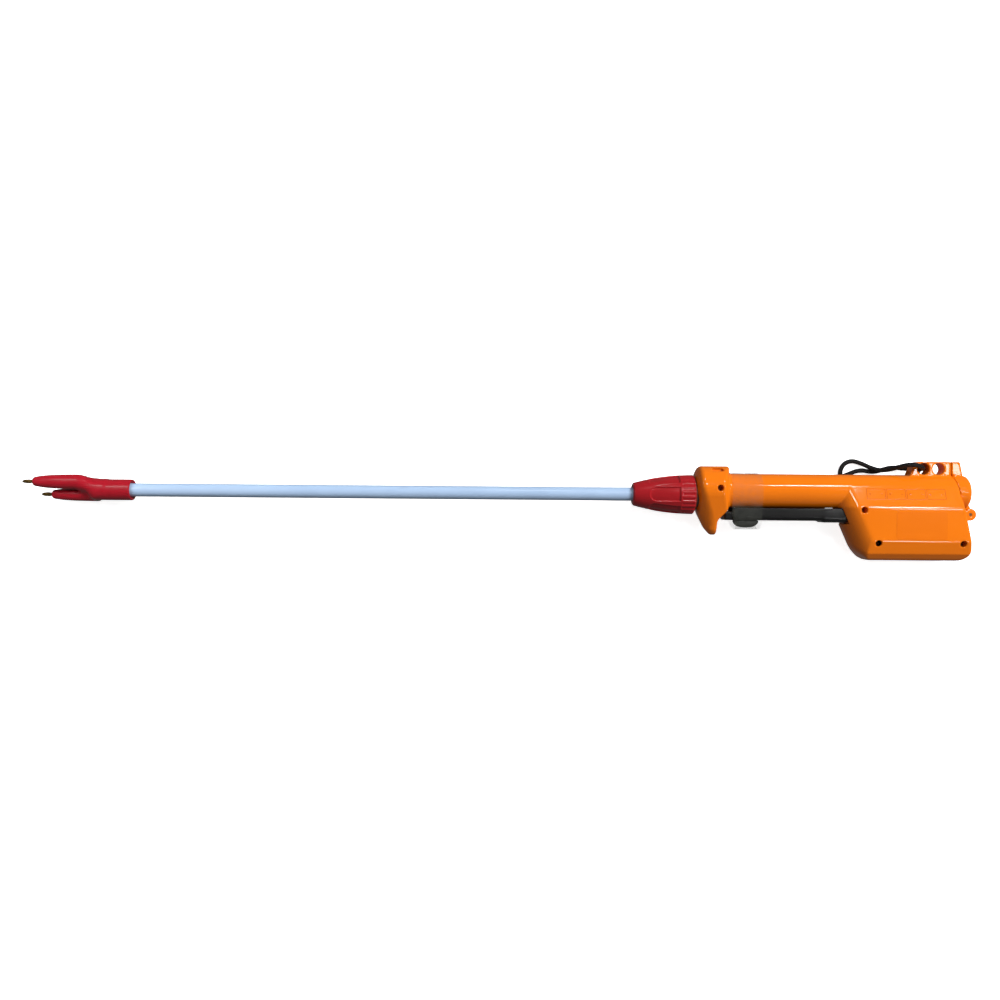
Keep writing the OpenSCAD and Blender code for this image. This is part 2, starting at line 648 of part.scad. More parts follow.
module handle() difference() {
    union() {
        guard_body();
        rod(grip_r, guard_length - 8, grip_end, grip_rise);
        box_body();
        lug();
        hinge_ears();
    }
    box_hollow();
    socket_room();
    lever_room();
    cell_room();
    screw_holes();
    guard_slots();
    drill([hinge_x, hinge_y], hinge_d / 2 + press_gap, -far, far);
}
module left_shell() color("darkorange") intersection() {
    handle();
    block([-10, -far, 0], [far, far, far]);
}
module right_shell() color("darkorange") intersection() {
    handle();
    block([-10, -far, -far], [far, far, 0]);
}
module housing_screws() color("silver") for (at = screws) {
    drill(at, screw_d / 2, screw_tip_z, screw_head_z + tiny);
    drill(at, screw_head_r, screw_head_z, screw_head_z + 2.2);
}

// A taut clear sleeve round the grip and the front of the lever
module film_band() color("lightgray", 0.4) {
    gap = 0.35;
    thick = 0.35;
    low_r = lever_half + 1;
    low_at = lever_bottom - pad_depth - 0.8 + low_r;
    along(guard_length + 0.5, guard_length + 32) difference() {
        egg(grip_r + gap + thick, grip_rise, low_r + thick, low_at);
        egg(grip_r + gap, grip_rise, low_r, low_at);
    }
}

module trigger_lever() color("black") difference() {
    union() {
        difference() {
            intersection() {
                across(-lever_half, lever_half) polygon([[lever_x - 5, lever_top - 3.7],
                    [lever_x - 9, lever_bottom + 3], [lever_x - 6.5, lever_bottom],
                    [lever_end - 28, lever_bottom], [lever_end - 24, lever_bottom - knuckle_drop],
                    [lever_end - 4.5, lever_bottom - knuckle_drop], [lever_end, lever_bottom + 2.5],
                    [lever_end, lever_top - 2.2], [lever_end - 2, lever_top], [lever_x, lever_top],
                    [lever_x, lever_top - 3.7]]);
                along(lever_x - 10, lever_end) trough_section(lever_bottom - knuckle_drop,
                    lever_top, lever_half, 5.5);
                translate([0, -far / 2, 0]) rotate([-90, 0, 0]) linear_extrude(far)
                    polygon([[lever_x - 10, -8], [lever_x - 2, -10], [lever_x, -10],
                        [lever_x, -lever_half], [lever_end, -lever_half], [lever_end, lever_half],
                        [lever_x, lever_half], [lever_x, 10], [lever_x - 2, 10], [lever_x - 10, 8]]);
            }
            block([lever_x + 1.5, floor_y, lever_wall - lever_half],
                [lever_end - 5.5, lever_top + 1, lever_half - lever_wall]);
            block([lever_x - 1, lever_top - 4.3, lever_wall - lever_half],
                [lever_x + 2, lever_top + 1, lever_half - lever_wall]);
        }
        block([lever_end - 6, tail_bottom, -tail_half], [tail_end, tail_top, tail_half]);
    }
    drill([pin_x, pin_y], pin_d / 2 + run_gap, -far, far);
}
module trigger_pad() color("darkslategray") intersection() {
    across(-lever_half, lever_half) polygon([[pad_x, lever_bottom],
        [pad_x + 3, lever_bottom - pad_depth + 2], [pad_x + 7, lever_bottom - pad_depth],
        [pad_x + pad_length - 7, lever_bottom - pad_depth],
        [pad_x + pad_length - 2, lever_bottom - pad_depth + 3.4],
        [pad_x + pad_length, lever_bottom]]);
    along(pad_x, pad_x + pad_length)
        trough_section(lever_bottom - pad_depth, lever_bottom, lever_half - 5, 6.5);
}
module trigger_pin() color("silver")
    drill([pin_x, pin_y], pin_d / 2, -pin_reach, lever_spring_end + 2);
module trigger_spring() color("silver") swept(lever_spring_path, lever_wire_r, 6);
module micro_switch() color("dimgray") difference() {
    block([switch_x, switch_top - switch_size.y, -switch_size.z / 2],
        [switch_x + switch_size.x, switch_top, switch_size.z / 2]);
    block([plunger_x - plunger_w / 2 - 0.1, switch_top - plunger_sink - 1, -plunger_w / 2 - 0.1],
        [plunger_x + plunger_w / 2 + 0.1, switch_top + 1, plunger_w / 2 + 0.1]);
}
module switch_plunger() color("red")
    block([plunger_x - plunger_w / 2, switch_top - plunger_sink, -plunger_w / 2],
        [plunger_x + plunger_w / 2, switch_top + plunger_reach, plunger_w / 2]);

module circuit_board() color("darkgreen") difference() {
    block([board_x, board_bottom, board_z - board_thick], [board_end, board_top, board_z]);
    for (hole = board_holes) drill(hole, 1.3, -far, far);
}
module board_screws() color("silver") for (hole = board_holes) {
    drill(hole, 1.1, board_z - board_thick, board_z + tiny);
    drill(hole, 2.2, board_z, board_z + 1.3);
}
module transformer_core() color("dimgray") {
    drill([core_x, core_y], core_leg, board_z, core_top);
    block([core_x - core_half, core_y - 5, coil_top + 0.2], [core_x + core_half, core_y + 5, core_top]);
    for (side = [-1, 1]) translate([core_x + side * (core_half - core_leg / 2), core_y, board_z])
        translate([-core_leg / 2, -5, 0]) cube([core_leg, 10, coil_top + 1 - board_z]);
}
module transformer_coil() color("peru") difference() {
    drill([core_x, core_y], coil_r, board_z, coil_top);
    drill([core_x, core_y], core_leg + 0.1, -far, far);
}
module capacitor() color("royalblue")
    drill([core_x + core_half + cap_can_r + 1, core_y], cap_can_r, board_z, coil_top + 7);
module high_voltage_leads() color("crimson") for (side = [-1, 1]) {
    from = fork_point(socket_end - 0.8, side * lead_spacing / 2, 0);
    down_x = hollow_x + 24;
    swept([from, from + [5, 0, 0], [chamber_end - 4, wire_y + 0.8, side * wire_z],
        [chamber_end, wire_y, side * wire_z], [down_x, wire_y, side * wire_z],
        [down_x, hollow_top - 2, side * wire_z],
        [core_x - core_half - 1, core_y + side * 3, -2]], wire_r, 8);
}
module battery_lead() color("crimson")
    swept([[contact_x + 0.3, grip_rise - 11.2, 0], [contact_x + 0.3, wire_y, 0],
        [hollow_x + 30, wire_y, 0], [hollow_x + 30, hollow_top - 1.5, 0],
        [board_x + 8, board_top - 9, board_z + wire_r + 0.1]], wire_r, 8);
module return_strip() color("goldenrod") {
    block([hollow_x + 33, duct_floor + 0.1, -2], [grip_end - 0.3, duct_floor + 0.7, 2]);
    block([hollow_x + 33, hollow_top - 3, -2], [hollow_x + 33.6, duct_floor + 0.7, 2]);
}
module front_contact() color("goldenrod") {
    rod(10, contact_x, contact_x + contact_thick, grip_rise);
    rod(4, contact_x + contact_thick - tiny, cell_x, grip_rise);
}

// A round cell with its raised front terminal
module cell(i) {
    r = cell_d / 2;
    x = cell_x + (i - 1) * cell_length;
    color("slategray") turned(grip_rise) polygon([[0, x], [3.1, x], [3.1, x + 1.7], [r - 0.6, x + 1.7],
        [r, x + 2.3], [r, x + cell_length - 0.6], [r - 0.6, x + cell_length], [0, x + cell_length]]);
}

module battery_cap() color("darkorange") difference() {
    union() {
        turned(grip_rise) difference() {
            union() {
                translate([0, seam_x]) square([grip_r, cap_thick - cap_round]);
                translate([0, seam_x]) square([grip_r - cap_round, cap_thick]);
                translate([grip_r - cap_round, cap_end - cap_round]) circle(cap_round);
            }
            translate([-1, seam_x - 1]) square([cap_hollow_r + 1, cap_floor_x - seam_x + 1]);
            translate([cap_hollow_r + 1.2, seam_x - 1]) square([2.2, 2.9]);
        }
        difference() {
            across(-lug_thick / 2, lug_thick / 2) polygon([[tab_x, grip_rise + grip_r + 0.5],
                [tab_x, lug_top], [cap_end - 8.5, lug_top], [cap_end - 5.5, grip_rise + grip_r - 1.4],
                [cap_end - 5.5, grip_rise], [seam_x, grip_rise], [seam_x, grip_rise + grip_r + 0.5]]);
            rod(grip_r - 1, seam_x - 10, cap_end, grip_rise);
        }
        across(-knuckle_half, knuckle_half) {
            translate([hinge_x, hinge_y]) circle(knuckle_r);
            polygon([[hinge_x - knuckle_r, hinge_y], [hinge_x - knuckle_r, grip_bottom + 3],
                [cap_end - 1, grip_bottom + 11], [hinge_x + knuckle_r, hinge_y]]);
        }
    }
    drill([hinge_x, hinge_y], hinge_d / 2 + run_gap, -far, far);
}
module cap_seal() color("black") turned(grip_rise)
    translate([cap_hollow_r + 2.3, seam_x + 0.95]) circle(0.9);
module cap_contact() color("goldenrod")
    rod(11.5, cap_floor_x - cap_contact_thick, cap_floor_x, grip_rise);
module cap_spring() color("silver") swept(spring_path, spring_wire_r, 6);
module cap_hinge_pin() color("silver") drill([hinge_x, hinge_y], hinge_d / 2, -ear_outer, ear_outer);

module wrist_cord() color("black") swept(cord_route, cord_r, 8);
module cord_knot() color("black") translate(knot_at) sphere(knot_r);

echo(cap_spring_gap = least_gap(spring_path, spring_wire_r, 6));
echo(trigger_spring_gap = least_gap(lever_spring_path, lever_wire_r, 6));

place() {
    electrode_long();
    electrode_short();
    electrode_head();
    shaft_tube();
    shaft_leads();
    shaft_plug();
    collet_nut();
    slip_washer();
    collet();
    dust_seal();
    shaft_socket();
    contact_sleeves();
    left_shell();
    right_shell();
    housing_screws();
    film_band();
    trigger_lever();
    trigger_pad();
    trigger_pin();
    trigger_spring();
    micro_switch();
    switch_plunger();
    circuit_board();
    board_screws();
    transformer_core();
    transformer_coil();
    capacitor();
    high_voltage_leads();
    battery_lead();
    return_strip();
    front_contact();
    cell(1);  // cell_1
    cell(2);  // cell_2
    cell(3);  // cell_3
    cell(4);  // cell_4
    battery_cap();
    cap_seal();
    cap_contact();
    cap_spring();
    cap_hinge_pin();
    wrist_cord();
    cord_knot();
}
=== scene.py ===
"""Looks of a livestock prod lying on its right side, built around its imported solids.

Shapes are worked out in millimetres in the tool's own frame: x runs from the guard's front face to
the battery cap, y up the tool from the shaft axis, z across it from the shells' split plane.
"""
import json
import math

import bpy
import numpy as np
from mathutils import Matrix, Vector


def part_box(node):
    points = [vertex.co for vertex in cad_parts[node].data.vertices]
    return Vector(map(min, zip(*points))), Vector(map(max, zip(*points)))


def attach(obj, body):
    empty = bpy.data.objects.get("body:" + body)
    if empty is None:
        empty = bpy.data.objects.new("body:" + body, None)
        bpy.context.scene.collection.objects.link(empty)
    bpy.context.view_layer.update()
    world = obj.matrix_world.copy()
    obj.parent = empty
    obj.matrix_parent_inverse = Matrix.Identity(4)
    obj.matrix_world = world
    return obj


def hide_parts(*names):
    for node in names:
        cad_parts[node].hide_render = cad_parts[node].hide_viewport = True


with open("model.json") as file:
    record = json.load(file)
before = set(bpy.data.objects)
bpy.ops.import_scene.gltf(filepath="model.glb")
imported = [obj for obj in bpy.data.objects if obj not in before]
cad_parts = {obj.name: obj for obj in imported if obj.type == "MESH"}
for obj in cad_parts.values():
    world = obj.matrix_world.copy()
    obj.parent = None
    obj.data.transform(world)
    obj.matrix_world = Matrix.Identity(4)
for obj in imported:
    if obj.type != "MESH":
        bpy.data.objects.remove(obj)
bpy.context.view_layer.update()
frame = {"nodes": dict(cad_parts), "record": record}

NODES = frame["nodes"]
MM = 0.001

# The tool's own origin in the row frame, from the solids that define it
GUARD_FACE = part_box("left_shell")[0].x
SPLIT_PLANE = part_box("left_shell")[0].z
SHAFT_AXIS = (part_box("shaft_tube")[0].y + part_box("shaft_tube")[1].y) / 2
TOOL_ORIGIN = np.array([GUARD_FACE, SHAFT_AXIS, SPLIT_PLANE])


def to_row(points):
    """Points in tool millimetres as metres in the row frame."""
    return TOOL_ORIGIN + np.asarray(points, float) * MM


def tool_box(node):
    """Lowest and highest corner of a solid in tool millimetres."""
    low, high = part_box(node)
    return (np.array(low) - TOOL_ORIGIN) / MM, (np.array(high) - TOOL_ORIGIN) / MM


def add_object(name, data):
    """An object that holds this data, linked into the scene."""
    made = bpy.data.objects.new(name, data)
    bpy.context.scene.collection.objects.link(made)
    return made


# Camera: straight down on the tool's middle, at the distance that gives the photo's perspective
PHOTO_MM_PER_PIXEL = 1.05
PHOTO_PIXELS = 1000
CAMERA_HEIGHT = 945.0
CAMERA_AIM = (-203.7, -7.4)
CAMERA_ROLL = 0.487
SENSOR = 36.0

camera_data = bpy.data.cameras.new("camera")
camera_data.sensor_width = SENSOR
camera_data.lens = SENSOR * CAMERA_HEIGHT / (PHOTO_PIXELS * PHOTO_MM_PER_PIXEL)
camera = add_object("camera", camera_data)
camera.location = to_row([CAMERA_AIM[0], CAMERA_AIM[1], CAMERA_HEIGHT])
camera.rotation_euler = (0, 0, math.radians(CAMERA_ROLL))
bpy.context.scene.camera = camera


# Shader helpers
def new_group(name, inputs, outputs):
    """A shader node group with float inputs (name, default) and outputs (name, socket type)."""
    group = bpy.data.node_groups.new(name, "ShaderNodeTree")
    for label, default in inputs:
        socket = group.interface.new_socket(label, in_out="INPUT", socket_type="NodeSocketFloat")
        socket.default_value = default
    for label, kind in outputs:
        group.interface.new_socket(label, in_out="OUTPUT", socket_type=kind)
    return group, group.nodes.new("NodeGroupInput"), group.nodes.new("NodeGroupOutput")


def feed(tree, value, socket):
    """Give a socket a plain number, or link it to an output."""
    if isinstance(value, (int, float)):
        socket.default_value = value
    else:
        tree.links.new(value, socket)


def calculate(tree, operation, *operands):
    """A math node on numbers or outputs; returns its output."""
    node = tree.nodes.new("ShaderNodeMath")
    node.operation = operation
    for operand, socket in zip(operands, node.inputs):
        feed(tree, operand, socket)
    return node.outputs[0]


def add_noise(tree, place, scale, detail):
    """Noise over a place, at a scale that is a number or an output; returns its value."""
    noise = tree.nodes.new("ShaderNodeTexNoise")
    noise.inputs["Detail"].default_value = detail
    tree.links.new(place, noise.inputs["Vector"])
    feed(tree, scale, noise.inputs["Scale"])
    return noise.outputs["Fac"]


def two_tones(tree, shader, share, color, shade, ends=(0.3, 0.7)):
    """Base colour that runs from shade to color while the share runs from one end to the other."""
    ramp = tree.nodes.new("ShaderNodeValToRGB")
    for element, place, tone in zip(ramp.color_ramp.elements, ends, (shade, color)):
        element.position = place
        element.color = (*tone, 1.0)
    tree.links.new(share, ramp.inputs["Fac"])
    tree.links.new(ramp.outputs["Color"], shader.inputs["Base Color"])


def add_relief(tree, shader, height, strength, depth):
    """A bump from a height, of that depth in metres, on the shader's normal."""
    relief = tree.nodes.new("ShaderNodeBump")
    relief.inputs["Strength"].default_value = strength
    relief.inputs["Distance"].default_value = depth
    tree.links.new(height, relief.inputs["Height"])
    tree.links.new(relief.outputs["Normal"], shader.inputs["Normal"])


# Scales of noise, in features for each metre
SINK_SCALE, GRAIN_SCALE, STREAK_SCALE = 60.0, 900.0, 500.0
GRAIN_SHARE = 0.04
SKIN_DEPTH = 0.0006
STREAK_STRETCH = (0.15, 1.0, 1.0)


def make_moulded_skin():
    """Moulded plastic: a wide wave of sink marks plus fine grain as height, and the wave as tone."""
    group, given, put = new_group("moulded_skin", [("Wave Scale", SINK_SCALE), ("Grain Scale", GRAIN_SCALE)],
                                  [("Height", "NodeSocketFloat"), ("Tone", "NodeSocketFloat")])
    place = group.nodes.new("ShaderNodeTexCoord").outputs["Object"]
    wave = add_noise(group, place, given.outputs["Wave Scale"], 1.0)
    grain = add_noise(group, place, given.outputs["Grain Scale"], 2.0)
    height = calculate(group, "ADD", wave, calculate(group, "MULTIPLY", grain, GRAIN_SHARE))
    group.links.new(height, put.inputs["Height"])
    group.links.new(wave, put.inputs["Tone"])
    return group


def make_metal_skin():
    """Drawn or turned metal: noise stretched along the tool gives streaks of tone and roughness."""
    inputs = [("Streak Scale", STREAK_SCALE), ("Dull", 0.45), ("Bright", 0.25)]
    outputs = [("Tone", "NodeSocketFloat"), ("Roughness", "NodeSocketFloat")]
    group, given, put = new_group("metal_skin", inputs, outputs)
    place = group.nodes.new("ShaderNodeTexCoord")
    stretch = group.nodes.new("ShaderNodeMapping")
    stretch.inputs["Scale"].default_value = STREAK_STRETCH
    group.links.new(place.outputs["Object"], stretch.inputs["Vector"])
    streak = add_noise(group, stretch.outputs["Vector"], given.outputs["Streak Scale"], 3.0)
    dull = group.nodes.new("ShaderNodeMapRange")
    group.links.new(streak, dull.inputs["Value"])
    group.links.new(given.outputs["Bright"], dull.inputs["To Min"])
    group.links.new(given.outputs["Dull"], dull.inputs["To Max"])
    group.links.new(streak, put.inputs["Tone"])
    group.links.new(dull.outputs["Result"], put.inputs["Roughness"])
    return group


MOULDED_SKIN = make_moulded_skin()
METAL_SKIN = make_metal_skin()


def principled(name, color, roughness, metallic=0.0):
    """A material whose Principled shader has these plain values; returns it with its node tree."""
    material = bpy.data.materials.new(name)
    material.use_nodes = True
    shader = material.node_tree.nodes["Principled BSDF"]
    shader.inputs["Base Color"].default_value = (*color, 1.0)
    shader.inputs["Roughness"].default_value = roughness
    shader.inputs["Metallic"].default_value = metallic
    return material, material.node_tree, shader


def place_group(tree, group, values):
    """A node group in a material with its own values; returns its outputs."""
    node = tree.nodes.new("ShaderNodeGroup")
    node.node_tree = group
    for label, value in values.items():
        node.inputs[label].default_value = value
    return node.outputs


def moulded(name, color, shade, roughness, wave=SINK_SCALE, bump=0.05):
    """Moulded plastic that drifts between color and shade, with the skin group as its relief."""
    material, tree, shader = principled(name, color, roughness)
    skin = place_group(tree, MOULDED_SKIN, {"Wave Scale": wave, "Grain Scale": GRAIN_SCALE})
    two_tones(tree, shader, skin["Tone"], color, shade)
    add_relief(tree, shader, skin["Height"], bump, SKIN_DEPTH)
    return material


def metal(name, color, shade, bright=0.25, dull=0.45):
    """Metal that drifts between color and shade in streaks, and between bright and dull in roughness."""
    material, tree, shader = principled(name, color, dull, metallic=1.0)
    skin = place_group(tree, METAL_SKIN, {"Streak Scale": STREAK_SCALE, "Bright": bright, "Dull": dull})
    two_tones(tree, shader, skin["Tone"], color, shade)
    tree.links.new(skin["Roughness"], shader.inputs["Roughness"])
    return material


# Plastics as (colour, its darker shade, roughness, scale of the wave, strength of the relief), where the
# last two may be left as usual
PLASTICS = {
    "orange_plastic": ((0.75, 0.166, 0.003), (0.72, 0.157, 0.003), 0.09, 25.0, 0.04),
    "plate_orange": ((0.72, 0.154, 0.003), (0.69, 0.145, 0.003), 0.1, 25.0, 0.04),
    # Painted shade: the raised cell marks are the shell's orange darkened as if shaded along their lines
    "mark_orange": ((0.54, 0.097, 0.004), (0.50, 0.088, 0.004), 0.2, 25.0, 0.04),
    "red_plastic": ((0.345, 0.006, 0.016), (0.31, 0.0052, 0.0135), 0.2, 70.0, 0.06),
    "dark_red_plastic": ((0.345, 0.0085, 0.0135), (0.31, 0.0075, 0.0115), 0.18, 70.0, 0.06),
    "white_shaft": ((0.365, 0.495, 0.685), (0.345, 0.47, 0.66), 0.25, 30.0),
    "black_plastic": ((0.006, 0.006, 0.006), (0.004, 0.004, 0.004), 0.28, SINK_SCALE, 0.1),
    "black_rubber": ((0.010, 0.010, 0.010), (0.007, 0.007, 0.007), 0.5, SINK_SCALE, 0.1),
    # Painted shade: the dust seal's dark brownish orange stands for the shade between the nut and the guard
    "seal_painted_shade": ((0.16, 0.024, 0.006), (0.13, 0.02, 0.005), 0.5, SINK_SCALE, 0.1),
    "grey_plastic": ((0.05, 0.05, 0.055), (0.04, 0.04, 0.045), 0.5),
    "board": ((0.02, 0.1, 0.035), (0.015, 0.085, 0.03), 0.35),
    "ferrite": ((0.02, 0.02, 0.022), (0.015, 0.015, 0.016), 0.6),
    "blue_plastic": ((0.02, 0.05, 0.25), (0.018, 0.045, 0.22), 0.4),
    "wire": ((0.3, 0.01, 0.01), (0.26, 0.008, 0.008), 0.45),
    "cell": ((0.07, 0.08, 0.1), (0.06, 0.07, 0.09), 0.3),
}
# Metals as (colour, its darker shade, roughness where bright and where dull), where the last two may be too
METALS = {
    "brass": ((0.38, 0.23, 0.07), (0.32, 0.19, 0.055)),
    "steel": ((0.38, 0.38, 0.39), (0.32, 0.32, 0.33)),
    "copper": ((0.47, 0.17, 0.065), (0.4, 0.14, 0.05)),
    "yellow_zinc": ((0.36, 0.17, 0.07), (0.28, 0.12, 0.05), 0.35, 0.55),
}
MATERIALS = {name: moulded(name, *values) for name, values in PLASTICS.items()}
MATERIALS.update((name, metal(name, *values)) for name, values in METALS.items())
# Solids that don't look as their slot does; the dust seal is painted shade between the nut and the guard
OTHER_LOOKS = {"housing_screws": "yellow_zinc", "cap_hinge_pin": "yellow_zinc", "dust_seal": "seal_painted_shade"}
for part in frame["record"]["subparts"]:
    look = OTHER_LOOKS.get(part["node"], part["material_slot"])
    if look in MATERIALS:
        solid = NODES[part["node"]]
        solid.data.materials.clear()
        solid.data.materials.append(MATERIALS[look])


# Mesh helpers
def add_piece(name, points, faces, body, slot, stands_for=(), crease=35.0, material=None):
    """A mesh piece from tool points and faces, smooth but for edges sharper than crease degrees.

    Its material is the slot's, if no other is given.
    """
    mesh = bpy.data.meshes.new(name)
    faces = np.asarray(faces)
    mesh.vertices.add(len(points))
    mesh.vertices.foreach_set("co", to_row(points).astype(np.float32).ravel())
    mesh.loops.add(faces.size)
    mesh.loops.foreach_set("vertex_index", faces.ravel().astype(np.int32))
    mesh.polygons.add(len(faces))
    mesh.polygons.foreach_set("loop_start", np.arange(0, faces.size, faces.shape[1], dtype=np.int32))
    mesh.update(calc_edges=True)
    mesh.validate()
    mesh.shade_smooth()
    mesh.set_sharp_from_angle(angle=math.radians(crease))
    mesh.materials.append(material or MATERIALS[slot])
    piece = add_object(name, mesh)
    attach(piece, body)
    if stands_for:
        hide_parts(*stands_for)
    return piece


def wrapped_rings(rings):
    """Points and quads of a skin through rings of points, whose last ring joins the first."""
    rows, sides = rings.shape[:2]
    i, j = np.meshgrid(np.arange(rows), np.arange(sides), indexing="ij")
    down, right = (i + 1) % rows, (j + 1) % sides
    corners = [i * sides + j, i * sides + right, down * sides + right, down * sides + j]
    return rings.reshape(-1, 3), np.stack(corners, -1).reshape(-1, 4)


def turned_rings(x, radius, sides):
    """Rings about the shaft axis, one for each x, with one radius for each ring or for each point."""
    angle = 2 * np.pi * np.arange(sides) / sides
    reach = np.reshape(radius, (len(x), -1))
    x = np.repeat(np.reshape(x, (-1, 1)), sides, 1)
    return np.stack([x, reach * np.cos(angle), reach * np.sin(angle)], -1)


def smooth_path(points, step):
    """A Catmull-Rom curve through the points, sampled about every step."""
    p = np.asarray(points, float)
    p = np.vstack([2 * p[0] - p[1], p, 2 * p[-1] - p[-2]])
    spans = len(p) - 3
    pieces = max(2, int(np.ceil(np.linalg.norm(np.diff(p, axis=0), axis=1).max() / step)))
    t = np.linspace(0, spans, spans * pieces + 1)
    i = np.minimum(t.astype(int), spans - 1)
    u = (t - i)[:, None]
    a, b, c, d = p[i], p[i + 1], p[i + 2], p[i + 3]
    return 0.5 * (2 * b + (c - a) * u + (2 * a - 5 * b + 4 * c - d) * u**2 + (3 * b - a - 3 * c + d) * u**3)


def path_frames(path):
    """Tangents of a path and two square directions carried along it without twist."""
    tangent = np.gradient(path, axis=0)
    tangent /= np.linalg.norm(tangent, axis=1, keepdims=True)
    normal = np.empty_like(path)
    carried = np.array([0.1, 0.2, 1.0])
    for i, t in enumerate(tangent):
        carried = carried - (carried @ t) * t
        carried /= np.linalg.norm(carried)
        normal[i] = carried
    return tangent, normal, np.cross(tangent, normal)


def tube_points(path, radius, sides):
    """A circle of that radius carried along a path: rows along it, columns round it."""
    _, normal, side = path_frames(path)
    angle = 2 * np.pi * np.arange(sides) / sides
    ring = np.cos(angle)[:, None] * normal[:, None] + np.sin(angle)[:, None] * side[:, None]
    return path[:, None] + np.reshape(radius, (-1, 1, 1)) * ring


def closed_rings(rings):
    """Points and triangles of a skin through rings of points, closed by a middle point at each end."""
    rows, sides = rings.shape[:2]
    i, j = np.meshgrid(np.arange(rows - 1), np.arange(sides), indexing="ij")
    right = (j + 1) % sides
    a, b, c, d = i * sides + j, i * sides + right, (i + 1) * sides + right, (i + 1) * sides + j
    around = np.arange(sides)
    following = (around + 1) % sides
    last = (rows - 1) * sides
    first_pole, last_pole = np.full(sides, rows * sides), np.full(sides, rows * sides + 1)
    walls = np.concatenate([np.stack([a, b, c], -1).reshape(-1, 3), np.stack([a, c, d], -1).reshape(-1, 3)])
    triangles = np.concatenate([walls, np.stack([first_pole, following, around], -1),
                                np.stack([last_pole, last + around, last + following], -1)])
    poles = np.stack([rings[0].mean(0), rings[-1].mean(0)])
    return np.concatenate([rings.reshape(-1, 3), poles]), triangles


# Wrist cord, first of the pieces
CORD_RADIUS = 2.4
CORD_STEP = 3.0
CORD_SIDES = 16
BRAID_PITCH = 5.0
BRAID_DEPTH = 0.0004
KNOT_RADIUS = 6.6
KNOT_GAP = 0.05
KNOT_RING, KNOT_SWAY, KNOT_DEPTH = 2.3, 1.4, 2.4
KNOT_AT = np.array([237.5, 28.8, -10.3])
CORD_WAY = [
    (237.4, 28.9, 2.8), (235.9, 29.7, 8.5), (231.7, 31, 12.7), (225.9, 32.3, 14.2),
    (220.1, 32.6, 12.6), (215.2, 31.5, 7.8), (210.4, 29.6, 0.8), (205, 28, -6.4), (198.6, 28, -12.8),
    (191.6, 30.8, -17.6), (183, 35.2, -20.8), (174, 37.5, -21.4), (166.4, 35.1, -21.4),
    (162, 28.8, -21.4), (160.8, 21.4, -21.4), (157.8, 13.6, -21.4), (151.8, 7, -21.4), (143, 2, -21.4),
    (133, -1.8, -21.4), (122.8, -3.5, -21.4), (115.2, 0.7, -21.4), (112.4, 8.1, -21.4),
    (115.2, 15.5, -21.4), (122.8, 19.7, -21.4), (133, 19.5, -21.4), (143, 18.7, -20),
    (152, 18.9, -17.2), (161, 20.8, -15.7), (169.5, 23.9, -17.3), (177.5, 26.6, -20.2),
    (185.5, 27.5, -21.4), (193, 26.5, -21.4), (200, 26.8, -21.4), (207, 28.8, -21.4),
    (214, 30.6, -21.4), (220.5, 30.8, -20.8), (226, 30, -18.4)]
CORD_START = KNOT_AT + [0, 0, KNOT_RADIUS + KNOT_GAP]
to_last = np.array(CORD_WAY[-1]) - KNOT_AT
CORD_END = KNOT_AT + (KNOT_RADIUS + KNOT_GAP) * to_last / np.linalg.norm(to_last)


def make_braid(name, color, gap_painted_shade, strands_along, strands_round):
    """Braided cord: two crossed sets of slanted ribs over the piece's UV, raised where either is high;
    painted shade in the gaps.
    """
    material, tree, shader = principled(name, color, 0.7)
    uv = tree.nodes.new("ShaderNodeUVMap")
    uv.uv_map = "braid"
    split = tree.nodes.new("ShaderNodeSeparateXYZ")
    tree.links.new(uv.outputs["UV"], split.inputs[0])
    ribs = []
    for lean in (1, -1):
        along = calculate(tree, "MULTIPLY", split.outputs["Y"], strands_along * 2 * math.pi)
        around = calculate(tree, "MULTIPLY", split.outputs["X"], lean * strands_round * 2 * math.pi)
        ribs.append(calculate(tree, "SINE", calculate(tree, "ADD", along, around)))
    high = calculate(tree, "MAXIMUM", *ribs)
    two_tones(tree, shader, high, color, gap_painted_shade, ends=(0.0, 1.0))
    add_relief(tree, shader, high, 0.6, BRAID_DEPTH)
    return material


# The second, darker colour is painted shade in the gaps between the strands
MATERIALS["cord"] = make_braid("cord", (0.008, 0.008, 0.008), (0.002, 0.002, 0.002),
                               strands_along=1.0, strands_round=4.0)


def path_length(path):
    """Length of a path, as the sum of its steps."""
    return np.linalg.norm(np.diff(path, axis=0), axis=1).sum()


def add_braided(name, path, node):
    """Braided cord along a path, in a solid's place; its UV goes once round it, and on by its pitch."""
    points, faces = closed_rings(tube_points(path, CORD_RADIUS, CORD_SIDES))
    piece = add_piece(name, points, faces, "handle", "cord", [node])
    layer = piece.data.uv_layers.new(name="braid")
    loops = np.empty(len(piece.data.loops), np.int32)
    piece.data.loops.foreach_get("vertex_index", loops)
    row, column = (loops // CORD_SIDES).reshape(-1, 3), (loops % CORD_SIDES).reshape(-1, 3)
    seam_side = (column.max(1) == CORD_SIDES - 1)[:, None] & (column == 0)
    along = row * (path_length(path) / BRAID_PITCH / len(path))
    uv = np.stack([(column + seam_side * CORD_SIDES) / CORD_SIDES, along], -1)
    layer.data.foreach_set("uv", uv.astype(np.float32).ravel())
    return piece


cord_path = smooth_path(np.vstack([CORD_START, CORD_WAY, CORD_END]), CORD_STEP)
wrist_cord = add_braided("wrist_cord_braid", cord_path, "wrist_cord")

# The knot: a trefoil of the same cord drawn tight, two turns that weave in and out three times
knot_turn = np.linspace(0, 2 * np.pi, 91)
knot_reach = KNOT_RING + KNOT_SWAY * np.cos(3 * knot_turn)
knot_path = KNOT_AT + np.stack([knot_reach * np.cos(2 * knot_turn), knot_reach * np.sin(2 * knot_turn),
                                KNOT_DEPTH * np.sin(3 * knot_turn)], -1)
cord_knot = add_braided("cord_knot_braid", knot_path, "cord_knot")


